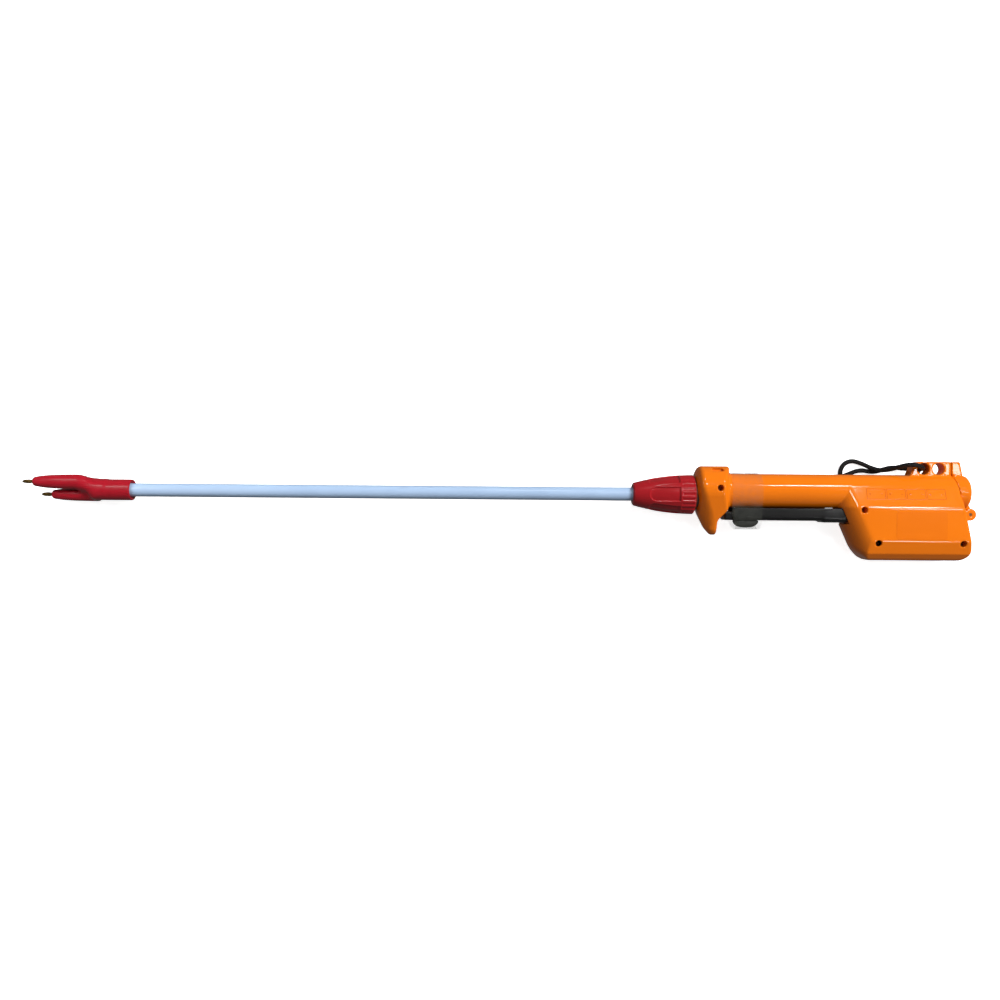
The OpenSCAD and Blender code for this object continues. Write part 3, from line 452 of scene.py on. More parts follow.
# Solids described by fields: negative inside, zero on the surface, about millimetres outside
def smooth_max(a, b, k):
    """The larger of two fields, their corner rounded over about k: shapes that both must hold."""
    h = np.clip(0.5 + 0.5 * (a - b) / k, 0, 1)
    return b + (a - b) * h + k * h * (1 - h)


def smooth_min(a, b, k):
    """The smaller of two fields, filleted over about k where they meet: shapes joined together."""
    return -smooth_max(-a, -b, k)


def smooth_all(fields, k):
    """Several fields that all must hold, each corner rounded over about k."""
    total = fields[0]
    for field in fields[1:]:
        total = smooth_max(total, field, k)
    return total


def half_plane(u, v, a, b):
    """Distance from the line from a to b, positive on the left of that way."""
    du, dv = b[0] - a[0], b[1] - a[1]
    size = math.hypot(du, dv)
    return ((u - a[0]) * -dv + (v - a[1]) * du) / size


def outline(u, v, corners, k):
    """Inside of a convex outline whose corners run clockwise, each rounded over about k."""
    edges = zip(corners, corners[1:] + corners[:1])
    return smooth_all([half_plane(u, v, a, b) for a, b in edges], k)


def field_mesh(fields, low, high, step):
    """Closed quads where the largest of the fields is zero.

    Each grid cell that the surface crosses gets one point, the mean of its edges' crossings; each
    grid edge that crosses it gets a quad of the four cells round it. Points are then carried down
    each field's slope to zero, onto every field that changes sign in their cell, so that edges
    between two fields stay crisp. The grid runs from low to high, which lie outside the shape.
    """
    low, high = np.asarray(low, float), np.asarray(high, float)
    count = np.ceil((high - low) / step).astype(int) + 1
    axes = [low[i] + step * np.arange(count[i]) for i in range(3)]
    grid = np.meshgrid(*axes, indexing="ij")
    values = [np.asarray(field(*grid), float) for field in fields]
    whole = np.maximum.reduce(values)

    def at_corner(array, corner):
        """The array's values at one of the eight corners of every cell."""
        return array[tuple(slice(c, n - 1 + c) for c, n in zip(corner, array.shape))]

    corners = [(i, j, k) for i in (0, 1) for j in (0, 1) for k in (0, 1)]
    inside = whole < 0
    filled = sum(at_corner(inside, c).astype(np.int8) for c in corners)
    active = (filled > 0) & (filled < 8)
    cells = np.argwhere(active)
    total = np.zeros((len(cells), 3))
    hits = np.zeros(len(cells))
    for axis in range(3):
        for start in [c for c in corners if c[axis] == 0]:
            stop = tuple(c + (i == axis) for i, c in enumerate(start))
            a, b = at_corner(whole, start)[active], at_corner(whole, stop)[active]
            crosses = (a < 0) != (b < 0)
            share = np.where(crosses, a / np.where(crosses, a - b, 1), 0)
            spot = np.tile(np.array(start, float), (len(cells), 1))
            spot[:, axis] += share
            total += spot * crosses[:, None]
            hits += crosses
    points = low + step * (cells + total / hits[:, None])

    number = np.full(active.shape, -1)
    number[active] = np.arange(len(cells))
    quads = []
    for axis in range(3):
        second, third = (axis + 1) % 3, (axis + 2) % 3
        before, after = [slice(1, -1)] * 3, [slice(1, -1)] * 3
        before[axis], after[axis] = slice(0, -1), slice(1, None)
        a, b = inside[tuple(before)], inside[tuple(after)]
        edge = np.argwhere(a != b) + (np.arange(3) != axis)
        ring = []
        for back_second, back_third in ((1, 1), (0, 1), (0, 0), (1, 0)):
            cell = edge.copy()
            cell[:, second] -= back_second
            cell[:, third] -= back_third
            ring.append(number[tuple(cell.T)])
        ring = np.stack(ring, -1)
        outward = a[a != b]
        quads.append(np.where(outward[:, None], ring, ring[:, ::-1]))
    quads = np.concatenate(quads)

    nudge, least_steep, passes = 0.02, 0.05, 6
    touches = []
    for value in values:
        below = sum((at_corner(value, c) < 0).astype(np.int8) for c in corners)[active]
        touches.append((below > 0) & (below < 8))
    for _ in range(passes):
        for field, touched in zip(fields, touches):
            p = points[touched]
            if not len(p):
                continue
            here = field(*p.T)
            slope = np.stack([field(*(p + nudge * np.eye(3)[i]).T) - field(*(p - nudge * np.eye(3)[i]).T)
                              for i in range(3)], -1) / (2 * nudge)
            steep = np.maximum((slope**2).sum(1), least_steep)
            move = np.clip(here / steep, -step, step)
            points[touched] = p - move[:, None] * slope
    return points, quads


# Driving sizes of the handle, from the solids where they show them
SHELL_LOW, SHELL_HIGH = tool_box("left_shell")
HALF_WIDTH = SHELL_HIGH[2]
BOX_BOTTOM = SHELL_LOW[1]
LUG_TOP = SHELL_HIGH[1]
SHELL_GAP = 0.05
GRIP_RADIUS = 18.0
GRIP_Y = 4.3
GRIP_FRONT = 26.0
TAB_REACH = 4.5
SEAM_X = tool_box("battery_cap")[0][0] + TAB_REACH
SEAM_LEAN = 0.2
SEAM_GAP = 0.3
SCREWS = [(22.4, 6.9), (170.0, -14.5), (185.0, -48.6), (272.0, -48.6)]
SCREW_RECESS = 3.2
SCREW_SEAT_Z = HALF_WIDTH - 12
HINGE = (285.0, -18.5)

# Guard: its two circles as (y, radius), its rear, and lines of (y, value) that shape its front
GUARD_HEAD, GUARD_LOBE = (6.0, 24.0), (-31.0, 11.0)
GUARD_TOP = sum(GUARD_HEAD)
GUARD_LENGTH = 35.5
GUARD_DISH = 40.0
LOBE_REAR = 22.0
LOBE_SLOPE = [(LOBE_REAR, -27.0), (GUARD_LENGTH, -11.8)]
GUARD_MIDDLE = [(-42, 13.4), (-37, 10.6), (-31.7, 8.2), (-26.5, 5.8), (-20, 2.9), (-14, 1.0), (-8, 0)]
GUARD_RIM = [(-42, 15.5), (-32, 17), (-21, 15.2), (-6, 9.6), (8, 5.6), (30, 4.5)]
GUARD_REACH = [(-42, 8), (-31, 10.5), (-13, 13), (2, 11), (30, 11)]
GUARD_STEEPNESS, GUARD_OVERRUN = 0.75, 1.2

# Electronics box: corners of its half section as (z, y), then its ends as (x, y)
TANGENT = (17.2, 9.66)
UPPER_EDGE = (HALF_WIDTH, -12.0)
LOWER_EDGE = (HALF_WIDTH, -46.0)
FACET_FOOT = (18.5, -59.5)
KEEL = [FACET_FOOT, (11.0, BOX_BOTTOM)]
FLANK_INSET = 0.2
UPPER_LEAN = (HALF_WIDTH - TANGENT[0]) / (TANGENT[1] - UPPER_EDGE[1])
NOSE_X, NOSE_Y, NOSE_LEAN, NOSE_RADIUS = 146.5, -13.7, math.radians(23.6), 24.0
NOSE_PROUD = 0.8
TOE = [(179.6, BOX_BOTTOM), (164.9, -55.8)]
BOX_REAR = 278.0
REAR_WALL = [(BOX_REAR, -47.0), (275.0, -25.0)]
REAR_TOP = -15.5
HEEL_ROUND = 14.0
BOX_FILLET, FILLET_TOP = 0.4, 8.0

# Strap lug and hinge ears
LUG_OUTLINE = [(221, 15), (228, 34.3), (231, LUG_TOP), (266, LUG_TOP), (266, 15)]
LUG_HALF = 7.5
STRAP_HOLES = [(237.5, 28.8), (253.1, 28.8)]
STRAP_HOLE_RADIUS = 6.0
EAR_RADIUS, EAR_BORE = 6.3, 1.65
EAR_INNER, EAR_OUTER = 5.3, 10.5
EAR_ARM_FRONT, EAR_ARM_RISE = 268.0, 1.5

# Rooms: round ones on the shaft axis as (radius, front, rear) for spigot, socket and flange, then the
# lever's as (x span, y span, half width, rounding) for its tongue, its bar and its tail
CELL_ROOM_RADIUS, CELL_ROOM_FRONT = 13.7, 54.0
ROUND_ROOMS = [(14.9, -50.0, 9.0), (12.1, 8.0, 50.0), (18.1, 9.0, 14.0)]
LEVER_ROOMS = [((24, 38.5), (-27.4, -13.3), 10.6, 1.0), ((136, 158.6), (-29.4, -12.7), 13.8, 1.0),
               ((150, 178), (-27.5, -16.6), 5.4, 0.6)]
DUCT_HALF, DUCT_Y, DUCT_FRONT = 4.2, (-11.6, -4.0), 46.0
WORKS_HALF, WORKS_X, WORKS_Y = 21.0, (176.0, 272.0), (-63.8, -14.7)
WORKS_FACET = [(WORKS_HALF, -45.4), (16.0, -57.7)]
WORKS_WALL = 2.6
SLOT_X = (GUARD_LENGTH - 19, GUARD_LENGTH - 8)
SLOT_Y = (GUARD_TOP - 5.6, GUARD_TOP - 3)
SLOT_INNER = 9.0


def seam(y):
    """The cap's seam along x: it leans back from the tab down to the hinge."""
    return SEAM_X + SEAM_LEAN * (GRIP_Y - y)


def hinge_distance(x, y):
    """Distance from the hinge's axis."""
    return np.hypot(x - HINGE[0], y - HINGE[1])


def upper_width(y):
    """Half the box's width at a height on its leaning upper side."""
    return HALF_WIDTH - UPPER_LEAN * (y - UPPER_EDGE[1])


def block(x, y, side, x_span, y_span, half, k):
    """A box that spans two ranges and is as wide as half on each side, rounded over about k."""
    return smooth_all([x_span[0] - x, x - x_span[1], y_span[0] - y, y - y_span[1], side - half], k)


def egg(y, z, big_y, big_r, small_y, small_r):
    """Outside of two circles on the y axis joined by the lines that touch both."""
    span = big_y - small_y
    lean = (big_r - small_r) / span
    flat = math.sqrt(1 - lean**2)
    down, side = big_y - y, np.abs(z)
    along = down * flat - side * lean
    big = np.hypot(down, side) - big_r
    small = np.hypot(down - span, side) - small_r
    middle = side * flat + down * lean - big_r
    return np.where(along < 0, big, np.where(along > flat * span, small, middle))


def guard_front(y, inside):
    """Where the guard's front lies along x, for places that far inside its outline.

    It is a shallow bowl turned over: furthest forward down its middle, which leans back towards the
    lobe, and falling back by the square of the way out to its rim, which leans back further.
    """
    lines = (GUARD_MIDDLE, GUARD_RIM, GUARD_REACH)
    middle, rim, reach = (np.interp(y, *zip(*line)) for line in lines)
    return middle + (rim - middle) * np.clip(1 - inside / reach, 0, GUARD_OVERRUN)**2


def guard_field(x, y, z):
    """The guard: an egg-shaped disc with a rounded front, and a rear that slopes forward to its lobe."""
    side = egg(y, z, *GUARD_HEAD, *GUARD_LOBE)
    front = GUARD_STEEPNESS * (guard_front(y, -side) - x)
    slope = half_plane(x, y, *LOBE_SLOPE)
    dish = np.hypot(x - GUARD_LENGTH + GUARD_DISH, z) - GUARD_DISH
    rear = smooth_min(x - LOBE_REAR, smooth_max(dish, -slope, 2), 2)
    return smooth_max(smooth_max(side, front, 2.2), rear, 2.0)


def nose_field(x, y, z):
    """The box's leaning front: a round prow swept along its lean, which follows the width of the box.

    The round is struck a little proud of the box's sides, so that it meets them in a soft edge.
    """
    back = (x - NOSE_X) * math.cos(NOSE_LEAN) + (y - NOSE_Y) * math.sin(NOSE_LEAN)
    width = upper_width(np.maximum(y, UPPER_EDGE[1])) + NOSE_PROUD
    beside = np.maximum(np.abs(z) - width + NOSE_RADIUS, 0)
    return np.hypot(np.maximum(NOSE_RADIUS - back, 0), beside) - NOSE_RADIUS


def housing_box_field(x, y, z):
    """The electronics box: a faceted section chamfered to its keel, a leaning nose and toe, a round heel."""
    side = np.abs(z)
    upper = -half_plane(side, y, UPPER_EDGE, TANGENT)
    facet = half_plane(side, y, LOWER_EDGE, FACET_FOOT)
    flank = side - HALF_WIDTH + FLANK_INSET
    section = smooth_max(smooth_max(upper, flank, 0.8), facet, 0.6)
    section = smooth_max(section, half_plane(side, y, *KEEL), 0.4)
    wall = half_plane(x, y, *REAR_WALL)
    rear = smooth_max(smooth_max(x - BOX_REAR, -wall, 4), y - REAR_TOP, 1.0)
    rear = np.minimum(rear, x - seam(y) + SEAM_GAP)
    floor = smooth_max(BOX_BOTTOM - y, rear, HEEL_ROUND)
    front = smooth_max(nose_field(x, y, z), half_plane(x, y, *TOE), 4)
    closed = smooth_max(smooth_max(section, floor, 3.0), front, 0.8)
    return np.maximum(closed, y - TANGENT[1])


def lug_field(x, y, z):
    """The strap lug: a plate on the grip's back with a sloped front and two round holes."""
    plate = outline(x, y, LUG_OUTLINE, 1.6)
    plate = smooth_max(plate, np.abs(z) - LUG_HALF, 1.6)
    for hole_x, hole_y in STRAP_HOLES:
        plate = smooth_max(plate, STRAP_HOLE_RADIUS - np.hypot(x - hole_x, y - hole_y), 1.2)
    return plate


def ear_field(x, y, z):
    """The two hinge ears behind the box: round ends on short arms."""
    eye = hinge_distance(x, y) - EAR_RADIUS
    arm = smooth_all([y - HINGE[1] - EAR_ARM_RISE, HINGE[1] - EAR_RADIUS - y, x - HINGE[0],
                      EAR_ARM_FRONT - x], 0.6)
    side = np.abs(z)
    cheek = smooth_max(side - EAR_OUTER, EAR_INNER - side, 0.8)
    ear = smooth_max(np.minimum(eye, arm), cheek, 1.0)
    return smooth_max(ear, EAR_BORE - hinge_distance(x, y), 0.4)


def handle_room_field(x, y, z):
    """Everything hollow in the handle: cells, electronics, lever, shaft socket and guard slots."""
    side = np.abs(z)
    rooms = [np.maximum(np.hypot(y - GRIP_Y, z) - CELL_ROOM_RADIUS, CELL_ROOM_FRONT - x)]
    rooms.append(smooth_all([side - DUCT_HALF, DUCT_Y[0] - y, y - DUCT_Y[1], DUCT_FRONT - x], 0.5))
    for radius, front, rear in ROUND_ROOMS:
        rooms.append(np.maximum(np.hypot(y, z) - radius, np.maximum(x - rear, front - x)))
    rooms += [block(x, y, side, *room) for room in LEVER_ROOMS]
    works = smooth_all([side - WORKS_HALF, y - WORKS_Y[1], WORKS_Y[0] - y, WORKS_X[0] - x,
                        x - WORKS_X[1]], 1.5)
    works = smooth_max(works, half_plane(side, y, *WORKS_FACET), 1.5)
    chamfers = np.maximum(half_plane(x, y, *TOE), half_plane(side, y, *KEEL))
    rooms.append(smooth_max(works, chamfers + WORKS_WALL, 1.0))
    rooms.append(smooth_all([SLOT_X[0] - x, x - SLOT_X[1], SLOT_Y[0] - y, y - SLOT_Y[1],
                             SLOT_INNER - side], 0.6))
    return np.minimum.reduce(rooms)


def handle_field(x, y, z):
    """The whole handle: guard, grip tube, box, lug and ears with fillets, less its rooms."""
    radius = np.hypot(y - GRIP_Y, z)
    tube = smooth_max(radius - GRIP_RADIUS, x - seam(y) + SEAM_GAP, 1.0)
    tube = np.maximum(tube, GRIP_FRONT - x)
    fillet = BOX_FILLET * np.clip((FILLET_TOP - y) / FILLET_TOP, 0.02, 1)
    body = smooth_min(tube, housing_box_field(x, y, z), fillet)
    body = smooth_min(body, guard_field(x, y, z), 3.0)
    body = smooth_min(body, lug_field(x, y, z), 2.0)
    body = smooth_min(body, ear_field(x, y, z), 1.0)
    return smooth_max(body, -handle_room_field(x, y, z), 0.8)


def screw_room_field(x, y, z):
    """Round recesses down to the screw heads, from the left side."""
    holes = [np.hypot(x - at[0], y - at[1]) - SCREW_RECESS for at in SCREWS]
    return np.maximum(np.minimum.reduce(holes), SCREW_SEAT_Z - z)


def left_field(x, y, z):
    """The handle with the screw recesses, their rims slightly broken."""
    return smooth_max(handle_field(x, y, z), -screw_room_field(x, y, z), 0.8)


SHELL_STEP = 0.9
GRID_MARGIN = 2.0
SPLIT_MARGIN = 1.3
HANDLE_REAR = 292.0
shell_low = np.array([-GRID_MARGIN, BOX_BOTTOM - GRID_MARGIN, -SPLIT_MARGIN])
shell_high = np.array([HANDLE_REAR, LUG_TOP, HALF_WIDTH]) + GRID_MARGIN
left_shell = field_mesh([left_field, lambda x, y, z: SHELL_GAP - z], shell_low, shell_high, SHELL_STEP)
add_piece("left_shell_moulded", *left_shell, "handle", "orange_plastic", ["left_shell"])
right_low = np.array([*shell_low[:2], -shell_high[2]])
right_high = np.array([*shell_high[:2], -shell_low[2]])
right_shell = field_mesh([handle_field, lambda x, y, z: z + SHELL_GAP], right_low, right_high, SHELL_STEP)
add_piece("right_shell_moulded", *right_shell, "handle", "orange_plastic", ["right_shell"])

# Battery cap
CAP_LENGTH = 13.2
CAP_ROUND = 5.0
CAP_ROOM_RADIUS, CAP_ROOM_DEPTH = 13.5, 7.8
CAP_STEP = 0.7
TAB_OUTLINE = [(SEAM_X - TAB_REACH, 22.8), (SEAM_X - TAB_REACH, LUG_TOP), (SEAM_X + 4.7, LUG_TOP),
               (SEAM_X + 8.2, 19), (SEAM_X + 3, 19)]
KNUCKLE_RADIUS, KNUCKLE_HALF, KNUCKLE_BORE = 6.0, 5.0, 1.66
ARM_OUTLINE = [(HINGE[0] - KNUCKLE_RADIUS, HINGE[1]), (HINGE[0] - KNUCKLE_RADIUS, -8), (HINGE[0] - 2, -2),
               (HINGE[0] + KNUCKLE_RADIUS, HINGE[1])]


def cap_field(x, y, z):
    """The cap: a round cup with a soft rear edge, a tab over the seam, and a knuckle on its arm."""
    radius = np.hypot(y - GRIP_Y, z)
    cup = smooth_max(radius - GRIP_RADIUS, x - SEAM_X - CAP_LENGTH, CAP_ROUND)
    cup = smooth_max(cup, seam(y) - x, 0.8)
    tab = outline(x, y, TAB_OUTLINE, 1.4)
    tab = smooth_max(tab, np.abs(z) - LUG_HALF, 1.6)
    eye = hinge_distance(x, y) - KNUCKLE_RADIUS
    arm = outline(x, y, ARM_OUTLINE, 0.6)
    knuckle = smooth_max(smooth_min(eye, arm, 1.0), np.abs(z) - KNUCKLE_HALF, 1.0)
    body = smooth_min(smooth_min(cup, tab, 1.5), knuckle, 1.5)
    hollow = np.maximum(radius - CAP_ROOM_RADIUS, x - SEAM_X - CAP_ROOM_DEPTH)
    body = smooth_max(body, -hollow, 0.6)
    return smooth_max(body, KNUCKLE_BORE - hinge_distance(x, y), 0.4)


battery_cap = field_mesh([cap_field], [SEAM_X - 7, -27, -20], [293, LUG_TOP + GRID_MARGIN, 20], CAP_STEP)
add_piece("battery_cap_moulded", *battery_cap, "cap", "orange_plastic", ["battery_cap"])

# Forked head: a prong is given by where it ends, bends and is rooted, how far its root is drawn in, and
# its thickness
FORK_TWIST = math.radians(40)
FORK_RISE = 1.3
PRONG_OFFSET = 8.6
PRONG_TIP_RADIUS = 4.3
PRONG_SWELL = 13.0
BEND_LENGTH = 24.0
SLEEVE_REAR = tool_box("electrode_head")[1][0]
SLEEVE_FRONT = SLEEVE_REAR - 38.0
SLEEVE_RADIUS = 11.0
SLEEVE_BLUNT = 7.0
LONG_END = tool_box("electrode_head")[0][0]
SHORT_END = LONG_END + 15.0
LONG_PRONG = {"end": LONG_END, "bend": SLEEVE_FRONT - 18, "root": SLEEVE_FRONT + 10, "root_round": 2.0,
              "drawn": 2.6, "widest": 7.8, "side": 1}
SHORT_PRONG = {"end": SHORT_END, "bend": SLEEVE_FRONT - 4, "root": SLEEVE_FRONT + 2.5, "root_round": 3.0,
               "drawn": 6.0, "widest": 7.1, "side": -1}
PRONG_STEEPNESS = 0.95
WEB_HALF, WEB_THICK = 7.2, 5.8
WEB_FRONT, WEB_REAR = SLEEVE_FRONT - 17, SLEEVE_FRONT + 3
SLEEVE_MOUTH, SLEEVE_FLARE, MOUTH_END = 7.1, 2.4, SLEEVE_FRONT + 5
HEAD_STEP = 0.7


def prong_field(x, y, z, end, bend, root, root_round, drawn, widest, side):
    """A prong: a blunt bullet swelling to its root, whose axis eases inwards behind the bend."""
    share = np.clip((x - bend) / BEND_LENGTH, 0, 1)
    ease = share**2 * (3 - 2 * share)
    reach = side * (PRONG_OFFSET + ease * (drawn - PRONG_OFFSET))
    centre_y = FORK_RISE * (1 - ease) + reach * math.cos(FORK_TWIST)
    centre_z = reach * math.sin(FORK_TWIST)
    back = x - end
    radius = widest - (widest - PRONG_TIP_RADIUS) * np.exp(-np.maximum(back, 0) / PRONG_SWELL)
    bullet = (np.hypot(y - centre_y, z - centre_z) - radius) * PRONG_STEEPNESS
    return smooth_max(smooth_max(bullet, -back, 2.5), x - root, root_round)


def head_field(x, y, z):
    """The head: two prongs run together into a round sleeve, open at the rear for the shaft."""
    radius = np.hypot(y, z)
    sleeve = smooth_max(radius - SLEEVE_RADIUS, SLEEVE_FRONT - SLEEVE_BLUNT - x, 8.0)
    sleeve = smooth_max(sleeve, x - SLEEVE_REAR, 1.4)
    across = (y - FORK_RISE / 2) * math.cos(FORK_TWIST) + z * math.sin(FORK_TWIST)
    thick = -(y - FORK_RISE / 2) * math.sin(FORK_TWIST) + z * math.cos(FORK_TWIST)
    web = smooth_all([np.abs(across) - WEB_HALF, np.abs(thick) - WEB_THICK, WEB_FRONT - x,
                      x - WEB_REAR], 4.0)
    body = smooth_min(smooth_min(sleeve, web, 3.0), prong_field(x, y, z, **LONG_PRONG), 4.0)
    body = smooth_min(body, prong_field(x, y, z, **SHORT_PRONG), 2.0)
    flare = np.maximum(x - SLEEVE_REAR + SLEEVE_FLARE, 0)
    mouth = np.maximum(radius - SLEEVE_MOUTH - flare, MOUTH_END - x)
    return smooth_max(body, -mouth, 0.7)


head = field_mesh([head_field], [LONG_END - 2, -18, -18], [SLEEVE_REAR + 2, 21, 18], HEAD_STEP)
add_piece("electrode_head_moulded", *head, "shaft", "red_plastic", ["electrode_head"])

# Electrodes and shaft, turned
ELECTRODE_RADIUS, ELECTRODE_WAIST, ELECTRODE_POINT = 2.1, 1.75, 0.35
ELECTRODE_NOSE, ELECTRODE_ROOT = 6.5, 24.0
ELECTRODE_SIDES, SHAFT_SIDES = 40, 72
ELECTRODE_GROOVE = [(2.6, ELECTRODE_RADIUS), (2.3, ELECTRODE_WAIST), (1.2, ELECTRODE_WAIST),
                    (0.9, ELECTRODE_RADIUS)]
SHAFT_RADIUS, SHAFT_BORE, SHAFT_CHAMFER = 7.0, 5.0, 0.4
for label, end, side in (("long", LONG_END, 1), ("short", SHORT_END, -1)):
    offset = side * PRONG_OFFSET
    centre = (FORK_RISE + offset * math.cos(FORK_TWIST), offset * math.sin(FORK_TWIST))
    tip = tool_box("electrode_" + label)[0][0]
    bend = np.linspace(0, 1, 14)
    swell = ELECTRODE_POINT + (ELECTRODE_RADIUS - ELECTRODE_POINT) * np.sqrt(1 - (1 - bend)**2)
    nose = np.stack([tip + ELECTRODE_NOSE * bend, swell], -1)
    groove = [(end - ahead, radius) for ahead, radius in ELECTRODE_GROOVE]
    profile = np.concatenate([nose, groove, [(end + ELECTRODE_ROOT, ELECTRODE_RADIUS)]])
    points, faces = closed_rings(turned_rings(*profile.T, ELECTRODE_SIDES) + [0, *centre])
    add_piece("electrode_%s_turned" % label, points, faces, "shaft", "brass", ["electrode_" + label])

shaft_front, shaft_rear = tool_box("shaft_tube")[0][0], tool_box("shaft_tube")[1][0]
shaft_rings = np.linspace(shaft_front + SHAFT_CHAMFER, shaft_rear - SHAFT_CHAMFER, 120)
shaft_side = np.stack([shaft_rings, np.full(len(shaft_rings), SHAFT_RADIUS)], -1)
shaft_lip = SHAFT_RADIUS - SHAFT_CHAMFER
shaft_profile = np.concatenate([[(shaft_front, SHAFT_BORE), (shaft_front, shaft_lip)], shaft_side,
                                [(shaft_rear, shaft_lip), (shaft_rear, SHAFT_BORE)]])
shaft = wrapped_rings(turned_rings(*shaft_profile.T, SHAFT_SIDES))
add_piece("shaft_tube_drawn", *shaft, "shaft", "white_shaft", ["shaft_tube"])

# Collet nut: radius as a function of angle and place along it
NUT_FRONT, NUT_REAR = tool_box("collet_nut")[0][0], tool_box("collet_nut")[1][0]
NUT_COLUMNS = 432
NUT_SMALL, NUT_SWELL = 11.7, 8.9
NUT_FRONT_EDGE, NUT_FRONT_DROP = 1.6, 1.4
NUT_REAR_EDGE, NUT_REAR_DROP = 1.2, 0.9
POCKETS = 6
POCKET_HALF = 7.5
POCKET_DEPTH, POCKET_SOFT = 1.25, 1.1
POCKET_FRONT = NUT_FRONT + 16.5
RIM_HEIGHT, RIM_WIDTH = 0.22, 0.8
BAND_FRONT = NUT_REAR - 16.0
BAND_GROOVES, GROOVE_DEPTH, GROOVE_START, GROOVE_EASE = 24, 0.6, 1.5, 1.2
THREAD_RADIUS, THREAD_END = 14.9, -27.6
CONE_BIG, CONE_SMALL = (-29.0, 12.7), (-57.8, 10.1)
LIP_WALL, LIP_BORE, LIP_CHAMFER = 4.6, 7.5, 0.4
NUT_BORE = np.array([
    (NUT_REAR, THREAD_RADIUS), (THREAD_END, THREAD_RADIUS), (THREAD_END, CONE_BIG[1]), CONE_BIG, CONE_SMALL,
    (NUT_FRONT + LIP_WALL, CONE_SMALL[1]), (NUT_FRONT + LIP_WALL, LIP_BORE),
    (NUT_FRONT + LIP_CHAMFER, LIP_BORE), (NUT_FRONT, LIP_BORE + LIP_CHAMFER)])


def nut_radius(x, angle):
    """The nut's outside: a bulging cone, less six U-shaped pockets with soft rims, less band grooves."""
    share = np.clip((x - NUT_FRONT) / (NUT_REAR - NUT_FRONT), 0, 1)
    outside = NUT_SMALL + NUT_SWELL * (1 - (1 - share)**2)
    outside = outside - NUT_FRONT_DROP * np.clip(1 - (x - NUT_FRONT) / NUT_FRONT_EDGE, 0, 1)**2
    outside = outside - NUT_REAR_DROP * np.clip((x - NUT_REAR + NUT_REAR_EDGE) / NUT_REAR_EDGE, 0, 1)**2
    sector = (angle * POCKETS / (2 * np.pi)) % 1 - 0.5
    sideways = np.abs(sector) * 2 * np.pi / POCKETS * outside
    forward = np.maximum(POCKET_FRONT + POCKET_HALF - x, 0)
    pocket = np.maximum(np.hypot(forward, sideways) - POCKET_HALF, x - BAND_FRONT)
    sunk = np.clip(0.5 - pocket / POCKET_SOFT, 0, 1)
    rim = RIM_HEIGHT * np.exp(-(pocket / RIM_WIDTH)**2)
    width = np.clip(0.5 + 0.9 * np.cos(angle * BAND_GROOVES), 0, 1)
    start = np.clip((x - BAND_FRONT - GROOVE_START) / GROOVE_EASE, 0, 1)
    return outside - POCKET_DEPTH * sunk**2 * (3 - 2 * sunk) + rim - GROOVE_DEPTH * width * start


# Its rows lie closer together at its two edges
nut_x = np.concatenate([np.linspace(NUT_FRONT, NUT_FRONT + 4, 8),
                        np.linspace(NUT_FRONT + 4.7, NUT_REAR - 1.3, 96),
                        np.linspace(NUT_REAR - 1.1, NUT_REAR, 6)])
nut_angle = 2 * np.pi * np.arange(NUT_COLUMNS) / NUT_COLUMNS
nut_outside = nut_radius(nut_x[:, None], nut_angle[None])
bore = np.repeat(NUT_BORE[:, 1:], NUT_COLUMNS, 1)
nut = wrapped_rings(turned_rings(np.concatenate([nut_x, NUT_BORE[:, 0]]), np.concatenate([nut_outside, bore]),
                                 NUT_COLUMNS))
add_piece("collet_nut_moulded", *nut, "nut", "dark_red_plastic", ["collet_nut"], crease=50)

# Squeeze lever and its finger pad: blocks as (x span, y span, half width, rounding)
LEVER_X = (38.5, 157.5)
BAR_TOP, BAR_BOTTOM, BAR_HALF, BAR_ROUND = -13.3, -26.4, 13.2, 6.0
BOSS_FRONT, BOSS_TOP, BOSS_BOTTOM, BOSS_HALF, BOSS_ROUND = 131.0, -16.0, -28.0, 12.6, 5.0
TONGUE = ((29.8, 42), (-26.2, -17), 10, 2.0)
TAIL = ((150, 191), (-25, -17.5), 4.5, 0.6)
CHANNEL_X, CHANNEL_FLOOR, CHANNEL_HALF = (38.0, 152.0), -19.2, 11.4
PAD_OUTLINE = [(41, -26.4), (67, -26.4), (65, -31.2), (60, -34.6), (48, -34.6), (44, -32.6)]
PAD_HALF, PAD_BOTTOM, PAD_ROUND = 8.2, -34.6, 8.0
LEVER_STEP, PAD_STEP = 0.8, 0.6


def lever_field(x, y, z):
    """The lever: a channel with a soft underside, a tongue in the guard, a boss at its pin and a tail."""
    side = np.abs(z)
    bar_section = smooth_max(BAR_BOTTOM - y, side - BAR_HALF, BAR_ROUND)
    bar = smooth_max(smooth_all([LEVER_X[0] - x, x - LEVER_X[1], y - BAR_TOP], 1.0), bar_section, 1.0)
    boss_section = smooth_max(BOSS_BOTTOM - y, side - BOSS_HALF, BOSS_ROUND)
    boss = smooth_max(smooth_all([BOSS_FRONT - x, x - LEVER_X[1], y - BOSS_TOP], 3.0), boss_section, 3.0)
    channel = smooth_all([CHANNEL_X[0] - x, x - CHANNEL_X[1], CHANNEL_FLOOR - y, side - CHANNEL_HALF], 0.8)
    body = smooth_min(smooth_min(bar, boss, 1.5), block(x, y, side, *TONGUE), 1.0)
    return np.minimum(smooth_max(body, -channel, 0.6), block(x, y, side, *TAIL))


def pad_field(x, y, z):
    """The finger pad: a soft rounded block under the lever's front."""
    section = smooth_max(np.abs(z) - PAD_HALF, PAD_BOTTOM - y, PAD_ROUND)
    return smooth_max(outline(x, y, PAD_OUTLINE, 3.0), section, 2.0)


